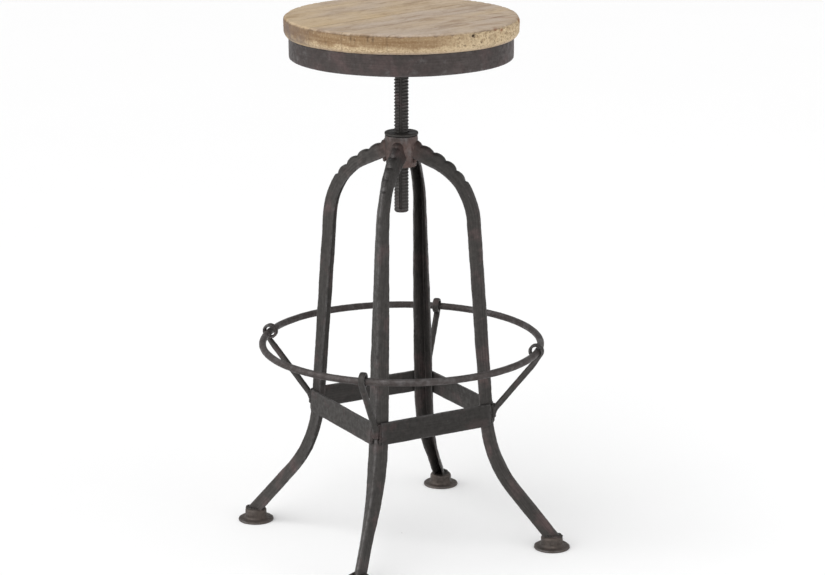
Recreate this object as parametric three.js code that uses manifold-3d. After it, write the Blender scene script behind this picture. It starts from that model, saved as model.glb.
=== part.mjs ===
// Bar stool with a round wooden seat on a screw spindle, four bent angle-iron legs and a ring footrest.
// Millimetres, +Z up. The origin is on the floor, on the stool's axis; the legs stand on the diagonals.
import * as THREE from 'three';
import { mergeVertices } from 'three/addons/utils/BufferGeometryUtils.js';
import Module from 'manifold-3d';

const GAP = 0.3; // clearance between touching pieces
const QUARTER = Math.PI / 2;

// Heights above the floor
const SEAT_TOP = 823;
const HUB_TOP = 641;
const HUB_BOTTOM = 592;
const SPINDLE_BOTTOM = 521;
const COLLAR_BOTTOM = 742;
const RING_HEIGHT = 313.5;
const STRETCHER_MIDDLE = 209.5;

// Seat
const WOOD = { radius: 178, thick: 30, topRound: 3.5, bottomRound: 8 };
const BAND = { radius: 169.2, wall: 3, height: 32.5 };
const PLATE = { thick: 3, centreHole: 9 };
const FLANGE = { radius: 50, thick: 7, collarRadius: 19, boltCircle: 37 };
const LAG = { shank: 3, head: 6.5, headHeight: 4.5, length: 16 };
const LAG_HOLE_DEPTH = 20;
const RIM_SCREW_CIRCLE = 140;
const WOOD_BOTTOM = SEAT_TOP - WOOD.thick;
const PLATE_TOP = WOOD_BOTTOM - GAP;
const PLATE_BOTTOM = PLATE_TOP - PLATE.thick;
const FLANGE_TOP = PLATE_BOTTOM - GAP;
const FLANGE_BOTTOM = FLANGE_TOP - FLANGE.thick;

// Screw and hub
const SPINDLE = { radius: 11, chamfer: 1.5 };
const KEYWAY = { width: 4, depth: 2.2, facing: 235 * QUARTER / 90 };
const HUB = { radius: 25.5, bore: 11.5, chamfer: 1.5, skirt: 1.2 };
const WASHER = { radius: 25.7, thick: 4, tongue: 3.2 };

// Legs: angle iron bent with its ridge outward. The corners of the ridge line are (radius, height).
const RIDGE_CORNERS = [[20, 636], [120.5, 584], [151.5, 142], [262, 12]];
const RIDGE_BENDS = [127, 180]; // bend radii at the shoulder and the knee
const IRON = { flange: 23.3, hubFlange: 31, hubTaper: 110, thick: 3 };
const OPENING = { hub: 18, shaft: 42, foot: 21 }; // half of the angle between the flanges, in degrees
const SHAFT = { from: 480, to: 500, footFrom: 650 }; // stretches of changing opening, along the ridge
const CRIMP = { count: 4, start: 12, pitch: 22.5, depth: 3 };
const STATION_STEP = 14;

// Stretchers: flat bars on edge, lying on the outer faces of the legs
const BAR = { height: 35, thick: 4.5, half: 96 };

// Footrest
const RING = { radius: 214.5, rod: 5.5 };
const STRUT = { rod: 4.75, bendHeight: 219, endHeight: 203, bend: 30 };
const EYE = { hole: 8.2, wall: 3.6, width: 9.5, offset: 1.5 }; // the eye sits inward and up from the rod

// Feet
const FOOT = { radius: 28, rim: 3.5, boss: 17.3, height: 20, shoulder: 4, circle: 241.5 };

const METAL_LOOK = { roughness: 0.6, metalness: 0.85 };
const MATERIALS = {
  wood: new THREE.MeshStandardMaterial({ color: 0xb79d78, roughness: 0.75, metalness: 0 }),
  iron: new THREE.MeshStandardMaterial({ color: 0x4b4542, ...METAL_LOOK }),
  casting: new THREE.MeshStandardMaterial({ color: 0x5c4f4c, ...METAL_LOOK }),
  band: new THREE.MeshStandardMaterial({ color: 0x4a403e, ...METAL_LOOK }),
  bolt: new THREE.MeshStandardMaterial({ color: 0x3f3b39, ...METAL_LOOK }),
};

const wasm = await Module();
wasm.setup();

// ---------------------------------------------------------------- shaping helpers

// A closed geometry as a solid that can be joined and cut.
function solidOf(geometry) {
  const bare = geometry.clone();
  bare.deleteAttribute('normal');
  bare.deleteAttribute('uv');
  const merged = mergeVertices(bare, 1e-4);
  return new wasm.Manifold(new wasm.Mesh({
    numProp: 3,
    vertProperties: merged.attributes.position.array,
    triVerts: new Uint32Array(merged.index.array),
  }));
}

function geometryOf(solid) {
  const made = solid.getMesh();
  return new THREE.BufferGeometry()
    .setAttribute('position', new THREE.BufferAttribute(made.vertProperties, 3))
    .setIndex(new THREE.BufferAttribute(made.triVerts, 1));
}

// The first geometry less all the others.
function cut(geometry, ...tools) {
  return geometryOf(tools.reduce((left, tool) => left.subtract(solidOf(tool)), solidOf(geometry)));
}

function join(...geometries) {
  return geometryOf(geometries.map(solidOf).reduce((whole, piece) => whole.add(piece)));
}

// A round piece about Z from its outline of [radius, height] points, which run anticlockwise.
function turned(outline, sides) {
  const points = outline.map(([radius, height]) => new THREE.Vector2(radius, height));
  return new THREE.LatheGeometry(points, sides).rotateX(QUARTER);
}

// A plain round bar about Z between two heights.
function roundBar(radius, bottom, top, sides) {
  return turned([[0, bottom], [radius, bottom], [radius, top], [0, top]], sides);
}

// A round piece with a plain bore, its outline closing on itself.
function bored(outline, sides) {
  return turned([...outline, outline[0]], sides);
}

// Outline points of a quarter round about a centre, from one angle to another in degrees.
function roundCorner(centreRadius, centreHeight, round, from, to, steps) {
  return Array.from({ length: steps + 1 }, (_, i) => {
    const angle = THREE.MathUtils.degToRad(from + (to - from) * i / steps);
    return [centreRadius + round * Math.cos(angle), centreHeight + round * Math.sin(angle)];
  });
}

// A path of straight runs through corners, each inner corner rounded to its own radius.
function roundedPath(corners, bends) {
  const at = corners.map(([x, y]) => new THREE.Vector2(x, y));
  const path = new THREE.Path().moveTo(at[0].x, at[0].y);
  bends.forEach((bend, i) => {
    const corner = at[i + 1];
    const back = at[i].clone().sub(corner).normalize();
    const ahead = at[i + 2].clone().sub(corner).normalize();
    const half = Math.acos(back.dot(ahead)) / 2;
    const middle = back.clone().add(ahead).normalize();
    const centre = middle.multiplyScalar(bend / Math.sin(half)).add(corner);
    const from = back.clone().multiplyScalar(bend / Math.tan(half)).add(corner);
    const to = ahead.clone().multiplyScalar(bend / Math.tan(half)).add(corner);
    const clockwise = back.cross(ahead) > 0;
    path.lineTo(from.x, from.y);
    path.absarc(centre.x, centre.y, bend, from.sub(centre).angle(), to.sub(centre).angle(), clockwise);
  });
  const last = at[at.length - 1];
  return path.lineTo(last.x, last.y);
}

// A flat path of (radius, height) stood up in the XZ plane, for sweeping a section along it.
class UprightPath extends THREE.Curve {
  constructor(path) {
    super();
    this.path = path;
  }

  getPoint(t) {
    const p = this.path.getPoint(t);
    return new THREE.Vector3(p.x, 0, p.y);
  }
}

// ---------------------------------------------------------------- sub-parts

const stool = new THREE.Group();

function add(parent, name, geometry, material) {
  const mesh = new THREE.Mesh(geometry, material);
  mesh.name = name;
  parent.add(mesh);
  return mesh;
}

// A group turned about Z, in which +X points outward.
function facing(angle) {
  const group = new THREE.Group();
  group.rotation.z = angle;
  stool.add(group);
  return group;
}

function seatWood() {
  const { radius, topRound, bottomRound } = WOOD;
  const outline = [
    [0, WOOD_BOTTOM],
    ...roundCorner(radius - bottomRound, WOOD_BOTTOM + bottomRound, bottomRound, -90, 0, 3),
    ...roundCorner(radius - topRound, SEAT_TOP - topRound, topRound, 0, 90, 2),
    [0, SEAT_TOP],
  ];
  return cut(turned(outline, 48), ...screwHoles(WOOD_BOTTOM - 1, WOOD_BOTTOM + LAG_HOLE_DEPTH));
}

function seatBand() {
  const bottom = PLATE_TOP - BAND.height;
  const inner = BAND.radius - BAND.wall;
  const edge = 0.8;
  return bored([
    [inner, bottom + edge],
    [inner + edge, bottom],
    [BAND.radius - edge, bottom],
    [BAND.radius, bottom + edge],
    [BAND.radius, PLATE_TOP],
    [inner, PLATE_TOP],
  ], 48);
}

// Places of the four flange bolts, and of the four screws near the rim.
function boltPlaces() {
  return [0, 1, 2, 3].map((i) => around(FLANGE.boltCircle, i * QUARTER));
}

function rimScrewPlaces() {
  return [0, 1, 2, 3].map((i) => around(RIM_SCREW_CIRCLE, i * QUARTER + QUARTER / 2));
}

function around(radius, angle) {
  return [radius * Math.cos(angle), radius * Math.sin(angle)];
}

function holesAt(places, bottom, top) {
  return places.map(([x, y]) => roundBar(LAG.shank + GAP, bottom, top, 10).translate(x, y, 0));
}

// Holes for every bolt and screw under the seat, between two heights.
function screwHoles(bottom, top) {
  return holesAt([...boltPlaces(), ...rimScrewPlaces()], bottom, top);
}

function seatPlate() {
  const outer = BAND.radius - BAND.wall - GAP;
  const disc = bored([
    [PLATE.centreHole, PLATE_BOTTOM],
    [outer, PLATE_BOTTOM],
    [outer, PLATE_TOP],
    [PLATE.centreHole, PLATE_TOP],
  ], 48);
  return cut(disc, ...screwHoles(PLATE_BOTTOM - 1, PLATE_TOP + 1));
}

// Cast flange under the seat plate, with a collar that holds the spindle.
function seatFlange() {
  const bore = SPINDLE.radius + GAP;
  const fillet = 6;
  const body = bored([
    [bore, COLLAR_BOTTOM],
    [FLANGE.collarRadius - 1, COLLAR_BOTTOM],
    [FLANGE.collarRadius, COLLAR_BOTTOM + 1],
    ...roundCorner(FLANGE.collarRadius + fillet, FLANGE_BOTTOM - fillet, fillet, 180, 90, 3),
    [FLANGE.radius - 1.5, FLANGE_BOTTOM],
    [FLANGE.radius, FLANGE_BOTTOM + 1.5],
    [FLANGE.radius, FLANGE_TOP],
    [bore, FLANGE_TOP],
  ], 28);
  return cut(body, ...holesAt(boltPlaces(), FLANGE_BOTTOM - 1, FLANGE_TOP + 1));
}

// A lag bolt with its hexagonal head under the flange and its shank going up into the wood.
function flangeBolt() {
  const seat = FLANGE_BOTTOM - GAP;
  const head = roundBar(LAG.head, seat - LAG.headHeight, seat, 6);
  const shank = roundBar(LAG.shank, seat - 1, seat + FLANGE.thick + LAG.length, 10);
  return join(head, shank);
}

// A pan-head wood screw through the seat plate.
function rimScrew() {
  const seat = PLATE_BOTTOM - GAP;
  const dome = 3;
  return turned([
    [0, seat - dome],
    ...roundCorner(dome, seat, dome, -90, 0, 3),
    [LAG.shank, seat],
    [LAG.shank, seat + LAG.length],
    [0, seat + LAG.length],
  ], 12);
}

function spindle() {
  const top = FLANGE_TOP - GAP;
  const { radius, chamfer } = SPINDLE;
  const bar = turned([
    [0, SPINDLE_BOTTOM],
    [radius - chamfer, SPINDLE_BOTTOM],
    [radius, SPINDLE_BOTTOM + chamfer],
    [radius, top],
    [0, top],
  ], 32);
  const slotTop = COLLAR_BOTTOM - 4;
  const slotBottom = SPINDLE_BOTTOM + 6;
  const slot = new THREE.BoxGeometry(2 * KEYWAY.depth, KEYWAY.width, slotTop - slotBottom);
  return cut(bar, slot.translate(radius, 0, (slotTop + slotBottom) / 2)).rotateZ(KEYWAY.facing);
}

// Dust washer that turns with the spindle: its tongue runs in the keyway.
function keyWasher() {
  const bottom = HUB_TOP + GAP;
  const top = bottom + WASHER.thick - GAP;
  const edge = 0.9;
  const disc = bored([
    [HUB.bore, bottom],
    [WASHER.radius, bottom],
    [WASHER.radius, top - edge],
    [WASHER.radius - edge, top],
    [HUB.bore, top],
  ], 28);
  const length = 3.5;
  const inner = SPINDLE.radius - KEYWAY.depth + 2 * GAP;
  const tongue = new THREE.BoxGeometry(length, WASHER.tongue, WASHER.thick - 2 * GAP);
  return join(disc, tongue.translate(inner + length / 2, 0, (bottom + top) / 2)).rotateZ(KEYWAY.facing);
}

function hub() {
  const { radius, bore, chamfer, skirt } = HUB;
  return bored([
    [bore, HUB_BOTTOM],
    [radius - chamfer - skirt, HUB_BOTTOM],
    [radius - skirt, HUB_BOTTOM + chamfer],
    [radius, HUB_BOTTOM + 12],
    [radius, HUB_TOP - 1],
    [radius - 1, HUB_TOP],
    [bore, HUB_TOP],
  ], 28);
}

const RIDGE = roundedPath(RIDGE_CORNERS, RIDGE_BENDS);
const RIDGE_LENGTH = RIDGE.getLength();

// Half of the angle between the flanges at a distance along the ridge, in radians.
function openingAt(s) {
  const { smoothstep, lerp, degToRad } = THREE.MathUtils;
  const upper = lerp(OPENING.hub, OPENING.shaft, smoothstep(s, 0, SHAFT.from));
  return degToRad(lerp(upper, OPENING.foot, smoothstep(s, SHAFT.to, SHAFT.footFrom)));
}

// Length of each flange: the iron is forged out deeper where it meets the hub.
function flangeAt(s) {
  const { smoothstep, lerp } = THREE.MathUtils;
  return lerp(IRON.hubFlange, IRON.flange, smoothstep(s, 0, IRON.hubTaper));
}

// How far the crimps pull the ridge in: a row of scallops over the shoulder.
function crimpAt(s) {
  const turns = (s - CRIMP.start) / CRIMP.pitch;
  if (turns < 0 || turns > CRIMP.count) return 0;
  return CRIMP.depth * (1 - Math.abs(Math.sin(Math.PI * turns)));
}

// Distances along the ridge at which the leg's section is placed: close over the crimps.
function ridgeStations() {
  const fine = CRIMP.pitch / 4;
  const crimped = Array.from({ length: 4 * CRIMP.count + 1 }, (_, i) => CRIMP.start + i * fine);
  const plainFrom = crimped[crimped.length - 1];
  const left = RIDGE_LENGTH - plainFrom;
  const steps = Math.round(left / STATION_STEP);
  const plain = Array.from({ length: steps }, (_, i) => plainFrom + left * (i + 1) / steps);
  return [0, ...crimped, ...plain];
}

// The six corners of the angle section at one station: left tip, ridge and right tip outside, then inside.
function angleSection(s) {
  const at = RIDGE.getPoint(s / RIDGE_LENGTH);
  const along = RIDGE.getTangent(s / RIDGE_LENGTH);
  const open = openingAt(s);
  const drop = crimpAt(s);
  const flange = flangeAt(s);
  const tip = { side: flange * Math.sin(open), in: flange * Math.cos(open) };
  const inner = { side: tip.side - IRON.thick * Math.cos(open), in: tip.in + IRON.thick * Math.sin(open) };
  const points = [
    [-tip.side, tip.in],
    [0, drop],
    [tip.side, tip.in],
    [inner.side, inner.in],
    [0, drop + IRON.thick / Math.sin(open)],
    [-inner.side, inner.in],
  ];
  return points.map(([side, inward]) =>
    new THREE.Vector3(at.x + along.y * inward, side, at.y - along.x * inward));
}

// A skin over rings of corners, closed at both ends. Each ring folds into two quads as its end cap.
function loft(rings) {
  const sides = rings[0].length;
  const index = [];
  const quad = (a, b, c, d) => index.push(a, d, c, a, c, b);
  for (let i = 0; i < rings.length - 1; i++) {
    for (let j = 0; j < sides; j++) {
      const next = (j + 1) % sides;
      quad(i * sides + j, i * sides + next, (i + 1) * sides + next, (i + 1) * sides + j);
    }
  }
  const end = (rings.length - 1) * sides;
  quad(5, 4, 1, 0);
  quad(4, 3, 2, 1);
  quad(end, end + 1, end + 4, end + 5);
  quad(end + 1, end + 2, end + 3, end + 4);
  return new THREE.BufferGeometry().setFromPoints(rings.flat()).setIndex(index);
}

// Leg in its own plane, +X outward, cut to the hub and to the top of its foot.
function leg() {
  const iron = loft(ridgeStations().map(angleSection));
  const hubRoom = roundBar(HUB.radius + GAP, HUB_BOTTOM - 30, HUB_TOP + 30, 48);
  const under = FOOT.height + GAP;
  const floorRoom = new THREE.BoxGeometry(160, 100, 60).translate(FOOT.circle, 0, under - 30);
  return cut(iron, hubRoom, floorRoom);
}

const [, SHOULDER, KNEE] = RIDGE_CORNERS;
const SHAFT_SLOPE = (KNEE[0] - SHOULDER[0]) / (SHOULDER[1] - KNEE[1]);

// Radius of the ridge line at a height on its straight shaft.
function shaftRadius(height) {
  return KNEE[0] - SHAFT_SLOPE * (height - KNEE[1]);
}

// Stretcher in its own frame, +X outward: a flat bar leaning with the legs.
function stretcher(group, name) {
  const face = shaftRadius(STRETCHER_MIDDLE) * Math.SQRT1_2;
  const lean = Math.atan(SHAFT_SLOPE * Math.SQRT1_2);
  const bar = new THREE.BoxGeometry(BAR.thick, 2 * BAR.half, BAR.height);
  const mesh = add(group, name, bar, MATERIALS.iron);
  const clear = 2 * GAP;
  mesh.position.set(face + clear + BAR.thick / 2, 0, STRETCHER_MIDDLE);
  mesh.rotation.y = -lean;
}

function footRing() {
  return new THREE.TorusGeometry(RING.radius, RING.rod, 8, 56).translate(0, 0, RING_HEIGHT);
}

// Room for the leg behind a strut: a square block whose corner runs just outside the ridge.
function ridgeRoom(height) {
  const side = 60;
  const lean = Math.atan(SHAFT_SLOPE);
  const block = new THREE.BoxGeometry(side, side, 2 * side).rotateZ(QUARTER / 2);
  block.translate(-side * Math.SQRT1_2, 0, 0).rotateY(-lean);
  return block.translate(shaftRadius(height) + 1.5 * GAP, 0, height);
}

// Strut: a round bar that rests on the leg's ridge and rises to an eye, in which the ring's rod lies.
function strut() {
  const { hole, wall, width, offset } = EYE;
  const centre = [RING.radius - offset, RING_HEIGHT + offset];
  const underEye = hole / 2;
  const corners = [
    [centre[0] + underEye, centre[1] - underEye],
    [shaftRadius(STRUT.bendHeight) + STRUT.rod, STRUT.bendHeight],
    [shaftRadius(STRUT.endHeight) + STRUT.rod / 4, STRUT.endHeight],
  ];
  const path = new UprightPath(roundedPath(corners, [STRUT.bend]));
  const section = new THREE.Shape().absarc(0, 0, STRUT.rod, 0, 2 * Math.PI);
  const settings = { steps: 14, curveSegments: 8, bevelEnabled: false, extrudePath: path };
  const rod = cut(new THREE.ExtrudeGeometry(section, settings), ridgeRoom(STRUT.endHeight));
  const eye = roundBar(hole + wall, -width / 2, width / 2, 20);
  const bore = roundBar(hole, -width, width, 20);
  for (const piece of [eye, bore]) {
    piece.rotateX(QUARTER).translate(centre[0], 0, centre[1]);
  }
  return cut(join(rod, eye), bore);
}

// Cast pad foot: a thin round rim and a boss with a rounded shoulder.
function foot() {
  const { radius, rim, boss, height, shoulder } = FOOT;
  const fillet = 3;
  return turned([
    [0, 0],
    [radius - 0.8, 0],
    [radius, 0.8],
    [radius, rim - 0.8],
    [radius - 1, rim],
    ...roundCorner(boss + fillet, rim + 0.6 + fillet, fillet, -90, -180, 2),
    ...roundCorner(boss - shoulder, height - shoulder, shoulder, 0, 90, 2),
    [0, height],
  ], 24).translate(FOOT.circle, 0, 0);
}

// ---------------------------------------------------------------- assembly

add(stool, 'seat_wood', seatWood(), MATERIALS.wood);
add(stool, 'seat_band', seatBand(), MATERIALS.band);
add(stool, 'seat_plate', seatPlate(), MATERIALS.iron);
add(stool, 'seat_flange', seatFlange(), MATERIALS.casting);
add(stool, 'spindle', spindle(), MATERIALS.iron);
add(stool, 'key_washer', keyWasher(), MATERIALS.bolt);
add(stool, 'hub', hub(), MATERIALS.casting);
add(stool, 'footrest_ring', footRing(), MATERIALS.iron);

boltPlaces().forEach(([x, y], i) => {
  add(stool, `flange_bolt_${i + 1}`, flangeBolt(), MATERIALS.bolt).position.set(x, y, 0);
});
rimScrewPlaces().forEach(([x, y], i) => {
  add(stool, `rim_screw_${i + 1}`, rimScrew(), MATERIALS.bolt).position.set(x, y, 0);
});

for (let i = 0; i < 4; i++) {
  const corner = facing(QUARTER / 2 + i * QUARTER);
  add(corner, `leg_${i + 1}`, leg(), MATERIALS.iron);
  add(corner, `foot_${i + 1}`, foot(), MATERIALS.casting);
  add(corner, `strut_${i + 1}`, strut(), MATERIALS.iron);
  stretcher(facing(i * QUARTER), `stretcher_${i + 1}`);
}

export default stool;
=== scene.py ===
"""Bar stool: worn wooden seat on a screw spindle, four crimped angle-iron legs and a ring footrest."""

import math

import bpy
import numpy as np
from bpy.props import FloatProperty, FloatVectorProperty, IntProperty, PointerProperty
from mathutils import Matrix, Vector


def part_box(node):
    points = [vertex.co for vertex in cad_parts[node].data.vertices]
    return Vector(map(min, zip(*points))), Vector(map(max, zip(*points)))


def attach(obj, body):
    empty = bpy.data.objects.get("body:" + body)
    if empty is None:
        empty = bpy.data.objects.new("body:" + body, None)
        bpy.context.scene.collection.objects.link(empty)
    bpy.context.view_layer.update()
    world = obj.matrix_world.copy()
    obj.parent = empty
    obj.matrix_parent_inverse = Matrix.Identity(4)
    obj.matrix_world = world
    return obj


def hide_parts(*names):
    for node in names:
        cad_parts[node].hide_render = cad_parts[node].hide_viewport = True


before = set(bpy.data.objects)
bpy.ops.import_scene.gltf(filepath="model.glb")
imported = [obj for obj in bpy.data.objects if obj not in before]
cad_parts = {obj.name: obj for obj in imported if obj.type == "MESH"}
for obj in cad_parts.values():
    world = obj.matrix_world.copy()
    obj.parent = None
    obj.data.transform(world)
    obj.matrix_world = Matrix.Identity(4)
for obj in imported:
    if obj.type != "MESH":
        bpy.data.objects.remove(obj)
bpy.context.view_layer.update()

bl_info = {
    "name": "Bar stool with footrest",
    "version": (1, 0, 0),
    "blender": (4, 5, 0),
    "location": "3D view > Sidebar > Stool",
    "description": "Builds the visible surfaces of a screw-adjusted bar stool round its CAD frame",
    "category": "Add Mesh",
}

MM = 0.001
QUARTER = math.pi / 2
SIDE_ANGLES = [i * QUARTER for i in range(4)]
LEG_ANGLES = [QUARTER / 2 + angle for angle in SIDE_ANGLES]
KEY_FACING = math.radians(235)
KEYWAY_HALF, KEYWAY_DEPTH, TONGUE_HALF = 2.0, 2.2, 1.6
HUB_BORE = 11.5
GRAIN_TURN = math.radians(14)  # the boards run this far round from +X
JOINT_OFFSET = 11.0  # one glued joint passes this far from the axis


def low(node):
    """Lowest corner of a CAD node, in millimetres."""
    return np.array(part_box(node)[0]) / MM


def high(node):
    """Highest corner of a CAD node, in millimetres."""
    return np.array(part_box(node)[1]) / MM


# ---------------------------------------------------------------- settings


def length(name, description, value):
    """A length setting, given in millimetres and kept in metres."""
    return FloatProperty(name=name, description=description, default=value * MM, unit="LENGTH", min=0.0)


def degrees(name, description, value):
    """An angle setting, given in degrees and kept in radians."""
    return FloatProperty(name=name, description=description, default=math.radians(value), subtype="ANGLE")


def colour(name, description, value):
    """A linear colour setting."""
    return FloatVectorProperty(
        name=name, description=description, default=value, subtype="COLOR", size=3, min=0.0, max=1.0
    )


class StoolSeatSettings(bpy.types.PropertyGroup):
    """Wooden seat and the iron band under it."""

    radius: length("Seat radius", "Radius of the wooden seat", high("seat_wood")[0])
    top: length("Seat height", "Height of the seat's top", high("seat_wood")[2])
    bottom: length("Wood underside", "Height of the wood's underside", low("seat_wood")[2])
    board_width: length("Board width", "Width of the boards that the seat is glued from", 62.0)
    band_radius: length("Band radius", "Outer radius of the iron band", high("seat_band")[0])
    band_wall: length("Band wall", "Thickness of the iron band", 3.0)


class StoolScrewSettings(bpy.types.PropertyGroup):
    """Spindle, hub and dust washer."""

    radius: length("Spindle radius", "Outer radius of the thread", 11.0)
    pitch: length("Thread pitch", "Rise of the thread in one turn", 5.0)
    thread_depth: length("Thread depth", "Depth of the thread", 1.25)
    hub_radius: length("Hub radius", "Outer radius of the cast hub", 25.5)


class StoolLegSettings(bpy.types.PropertyGroup):
    """Angle-iron legs and their stretchers."""

    flange: length("Flange", "Length of each flange of the angle iron", 23.3)
    hub_flange: length("Flange at the hub", "Length of each flange where the leg meets the hub", 31.0)
    thick: length("Iron thickness", "Thickness of the angle iron", 3.0)
    ridge_round: length("Ridge radius", "Outer radius of the ridge", 3.8)
    hub_round: length("Ridge radius at the hub", "Outer radius of the ridge at the hub", 8.5)
    crimp_depth: length("Crimp depth", "Depth of the crimps over the shoulder", 3.9)
    crimps: IntProperty(name="Crimps", description="Scallops over each shoulder", default=4, min=0)
    bar_height: length("Stretcher height", "Height of the flat stretcher bars", 34.8)
    bar_thick: length("Stretcher thickness", "Thickness of the stretcher bars", 4.5)
    bar_half: length("Stretcher half length", "Half of a stretcher's length", 96.0)


class StoolFootrestSettings(bpy.types.PropertyGroup):
    """Ring, struts and feet."""

    ring_radius: length("Ring radius", "Radius of the ring's centreline", 214.5)
    rod: length("Ring rod radius", "Radius of the ring's round bar", 5.5)
    strut_rod: length("Strut radius", "Radius of the struts' round bar", 4.75)
    foot_circle: length("Foot circle", "Distance of each foot from the axis", 241.5)
    foot_radius: length("Foot radius", "Radius of each pad foot", 28.0)


class StoolFinishSettings(bpy.types.PropertyGroup):
    """Colours of the wood and the iron."""

    wood_pale: colour("Pale wood", "Dry pale board", (0.53, 0.405, 0.255))
    wood_grey: colour("Grey wood", "Weathered grey board", (0.465, 0.38, 0.305))
    wood_brown: colour("Brown wood", "Stained and dark-grained wood", (0.20, 0.115, 0.052))
    wood_dusky: colour("Dusky wood", "Grey-pink end grain", (0.135, 0.098, 0.080))
    wood_cream: colour("Cream wood", "Worn pale wood at the lower edge", (0.60, 0.47, 0.30))
    side_golden: colour("Golden wood", "Rim of the seat", (0.30, 0.205, 0.112))
    iron_dark: colour("Dark iron", "Darkest patina", (0.050, 0.046, 0.043))
    iron_warm: colour("Warm iron", "Purple-brown patina", (0.092, 0.066, 0.064))
    iron_pale: colour("Rubbed iron", "Rubbed grey iron", (0.150, 0.143, 0.143))
    cast_warm: colour("Warm casting", "Reddish-brown cast iron", (0.142, 0.098, 0.088))
    weld_brown: colour("Weld brown", "Iron browned by the heat of a weld", (0.078, 0.050, 0.044))
    foot_warm: colour("Warm foot", "Grey-brown cast iron", (0.112, 0.090, 0.078))
    wood_pit: colour("Pitted wood", "Pits and burnt upper edge", (0.12, 0.07, 0.035))
    wood_seam: colour("Seam", "Joint between two boards", (0.11, 0.07, 0.04))
    wood_rust: colour("Rust stain", "Rust-red stains on the rim", (0.22, 0.075, 0.03))
    # Near-black for the rim's holes: dark knots, and painted shade inside the deep holes and cracks.
    wood_knot_and_hollow_shade: colour("Hollow", "Inside of knots and deep holes", (0.035, 0.02, 0.012))


class StoolStageSettings(bpy.types.PropertyGroup):
    """Floor, lights and camera."""

    floor_colour: colour("Floor", "Plain pale floor", (0.97, 0.97, 0.97))
    sky: FloatProperty(name="Sky", description="Strength of the even light", default=0.55, min=0.0)
    key: FloatProperty(name="Key light", description="Strength of the soft main light", default=2.4)
    fill: FloatProperty(name="Fill light", description="Power of the soft fill light", default=18.0)
    distance: length("Camera distance", "Level distance to the stool's axis", 4015.4)
    eye_height: length("Camera height", "Height of the camera", 1492.3)
    aside: length("Camera aside", "How far the camera stands to the right", 30.2)
    azimuth: degrees("Camera azimuth", "Turn of the view about Z", -29.96)
    pitch: degrees("Camera pitch", "Look down from level", 15.211457)
    aim: degrees("Aim", "Turn of the view to the left", 0.190795)
    lens: FloatProperty(
        name="Lens", description="Focal length on a 36 mm sensor", default=118.2, subtype="DISTANCE_CAMERA"
    )


SETTINGS = {
    "stool_seat": StoolSeatSettings,
    "stool_screw": StoolScrewSettings,
    "stool_leg": StoolLegSettings,
    "stool_footrest": StoolFootrestSettings,
    "stool_finish": StoolFinishSettings,
    "stool_stage": StoolStageSettings,
}


class Sizes:
    """The lengths of one settings group in millimetres, by name."""

    def __init__(self, name):
        self.group = getattr(bpy.context.scene, name)

    def __getattr__(self, name):
        value = getattr(self.group, name)
        return value if isinstance(value, int) else value / MM


# ---------------------------------------------------------------- surfaces


def ripples(points, size, seed, waves=18):
    """Smooth irregular field over points, about -1 to 1: a sum of cosines in random directions.

    Each wave is cos(k . p + phase), with |k| between 0.6 and 1.6 times 2 pi / size. The sum is scaled by
    half of sqrt(2 / waves).
    """
    random = np.random.default_rng(seed)
    direction = random.normal(size=(waves, 3))
    direction /= np.linalg.norm(direction, axis=1)[:, None]
    wave = direction * (2 * np.pi / size) * random.uniform(0.6, 1.6, (waves, 1))
    phase = random.uniform(0, 2 * np.pi, waves)
    return np.cos(points @ wave.T + phase).sum(axis=-1) * math.sqrt(2 / waves) * 0.5


def smoothstep(value, start, end):
    """Rises from 0 at start to 1 at end as 3 t^2 - 2 t^3."""
    t = np.clip((value - start) / (end - start), 0, 1)
    return t * t * (3 - 2 * t)


def normals_of(grid, wrap_rows):
    """Unit normals of a grid whose columns wrap round: the cross product of its two centred differences."""
    across = np.roll(grid, -1, axis=1) - np.roll(grid, 1, axis=1)
    if wrap_rows:
        along = np.roll(grid, -1, axis=0) - np.roll(grid, 1, axis=0)
    else:
        along = np.gradient(grid, axis=0)
    normal = np.cross(along, across)
    return normal / np.maximum(np.linalg.norm(normal, axis=2, keepdims=True), 1e-9)


def outward(grid, wrap_rows=False):
    """Normals of a grid turned to point away from the solid, by the sign of the volume it closes."""
    normal = normals_of(grid, wrap_rows)
    across = np.roll(grid, -1, axis=1) - grid
    along = np.roll(grid, -1, axis=0) - grid
    cell = np.cross(along, across)[: None if wrap_rows else -1]
    centre = grid.reshape(-1, 3).mean(axis=0)
    flux = ((grid[: len(cell)] - centre) * cell).sum()
    return normal if flux > 0 else -normal


def quad_faces(rows, columns, wrap_rows):
    """Corner indices of the cells of a grid whose columns wrap round."""
    index = np.arange(rows * columns).reshape(rows, columns)
    right = np.roll(index, -1, axis=1)
    if wrap_rows:
        return np.stack([index, right, np.roll(right, -1, axis=0), np.roll(index, -1, axis=0)], axis=-1)
    return np.stack([index[:-1], right[:-1], right[1:], index[1:]], axis=-1)


def fan_faces(ring, centre):
    """Triangles from a ring of vertices to a centre vertex, each with its last corner repeated."""
    middle = np.full_like(ring, centre)
    return np.stack([np.roll(ring, -1), ring, middle, middle], axis=-1)


def strip_faces(ring):
    """Quads across a ring whose second half runs back along its first half."""
    half = len(ring) // 2
    there, back = ring[:half], ring[::-1][:half]
    return np.stack([there[1:], there[:-1], back[:-1], back[1:]], axis=-1)


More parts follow.
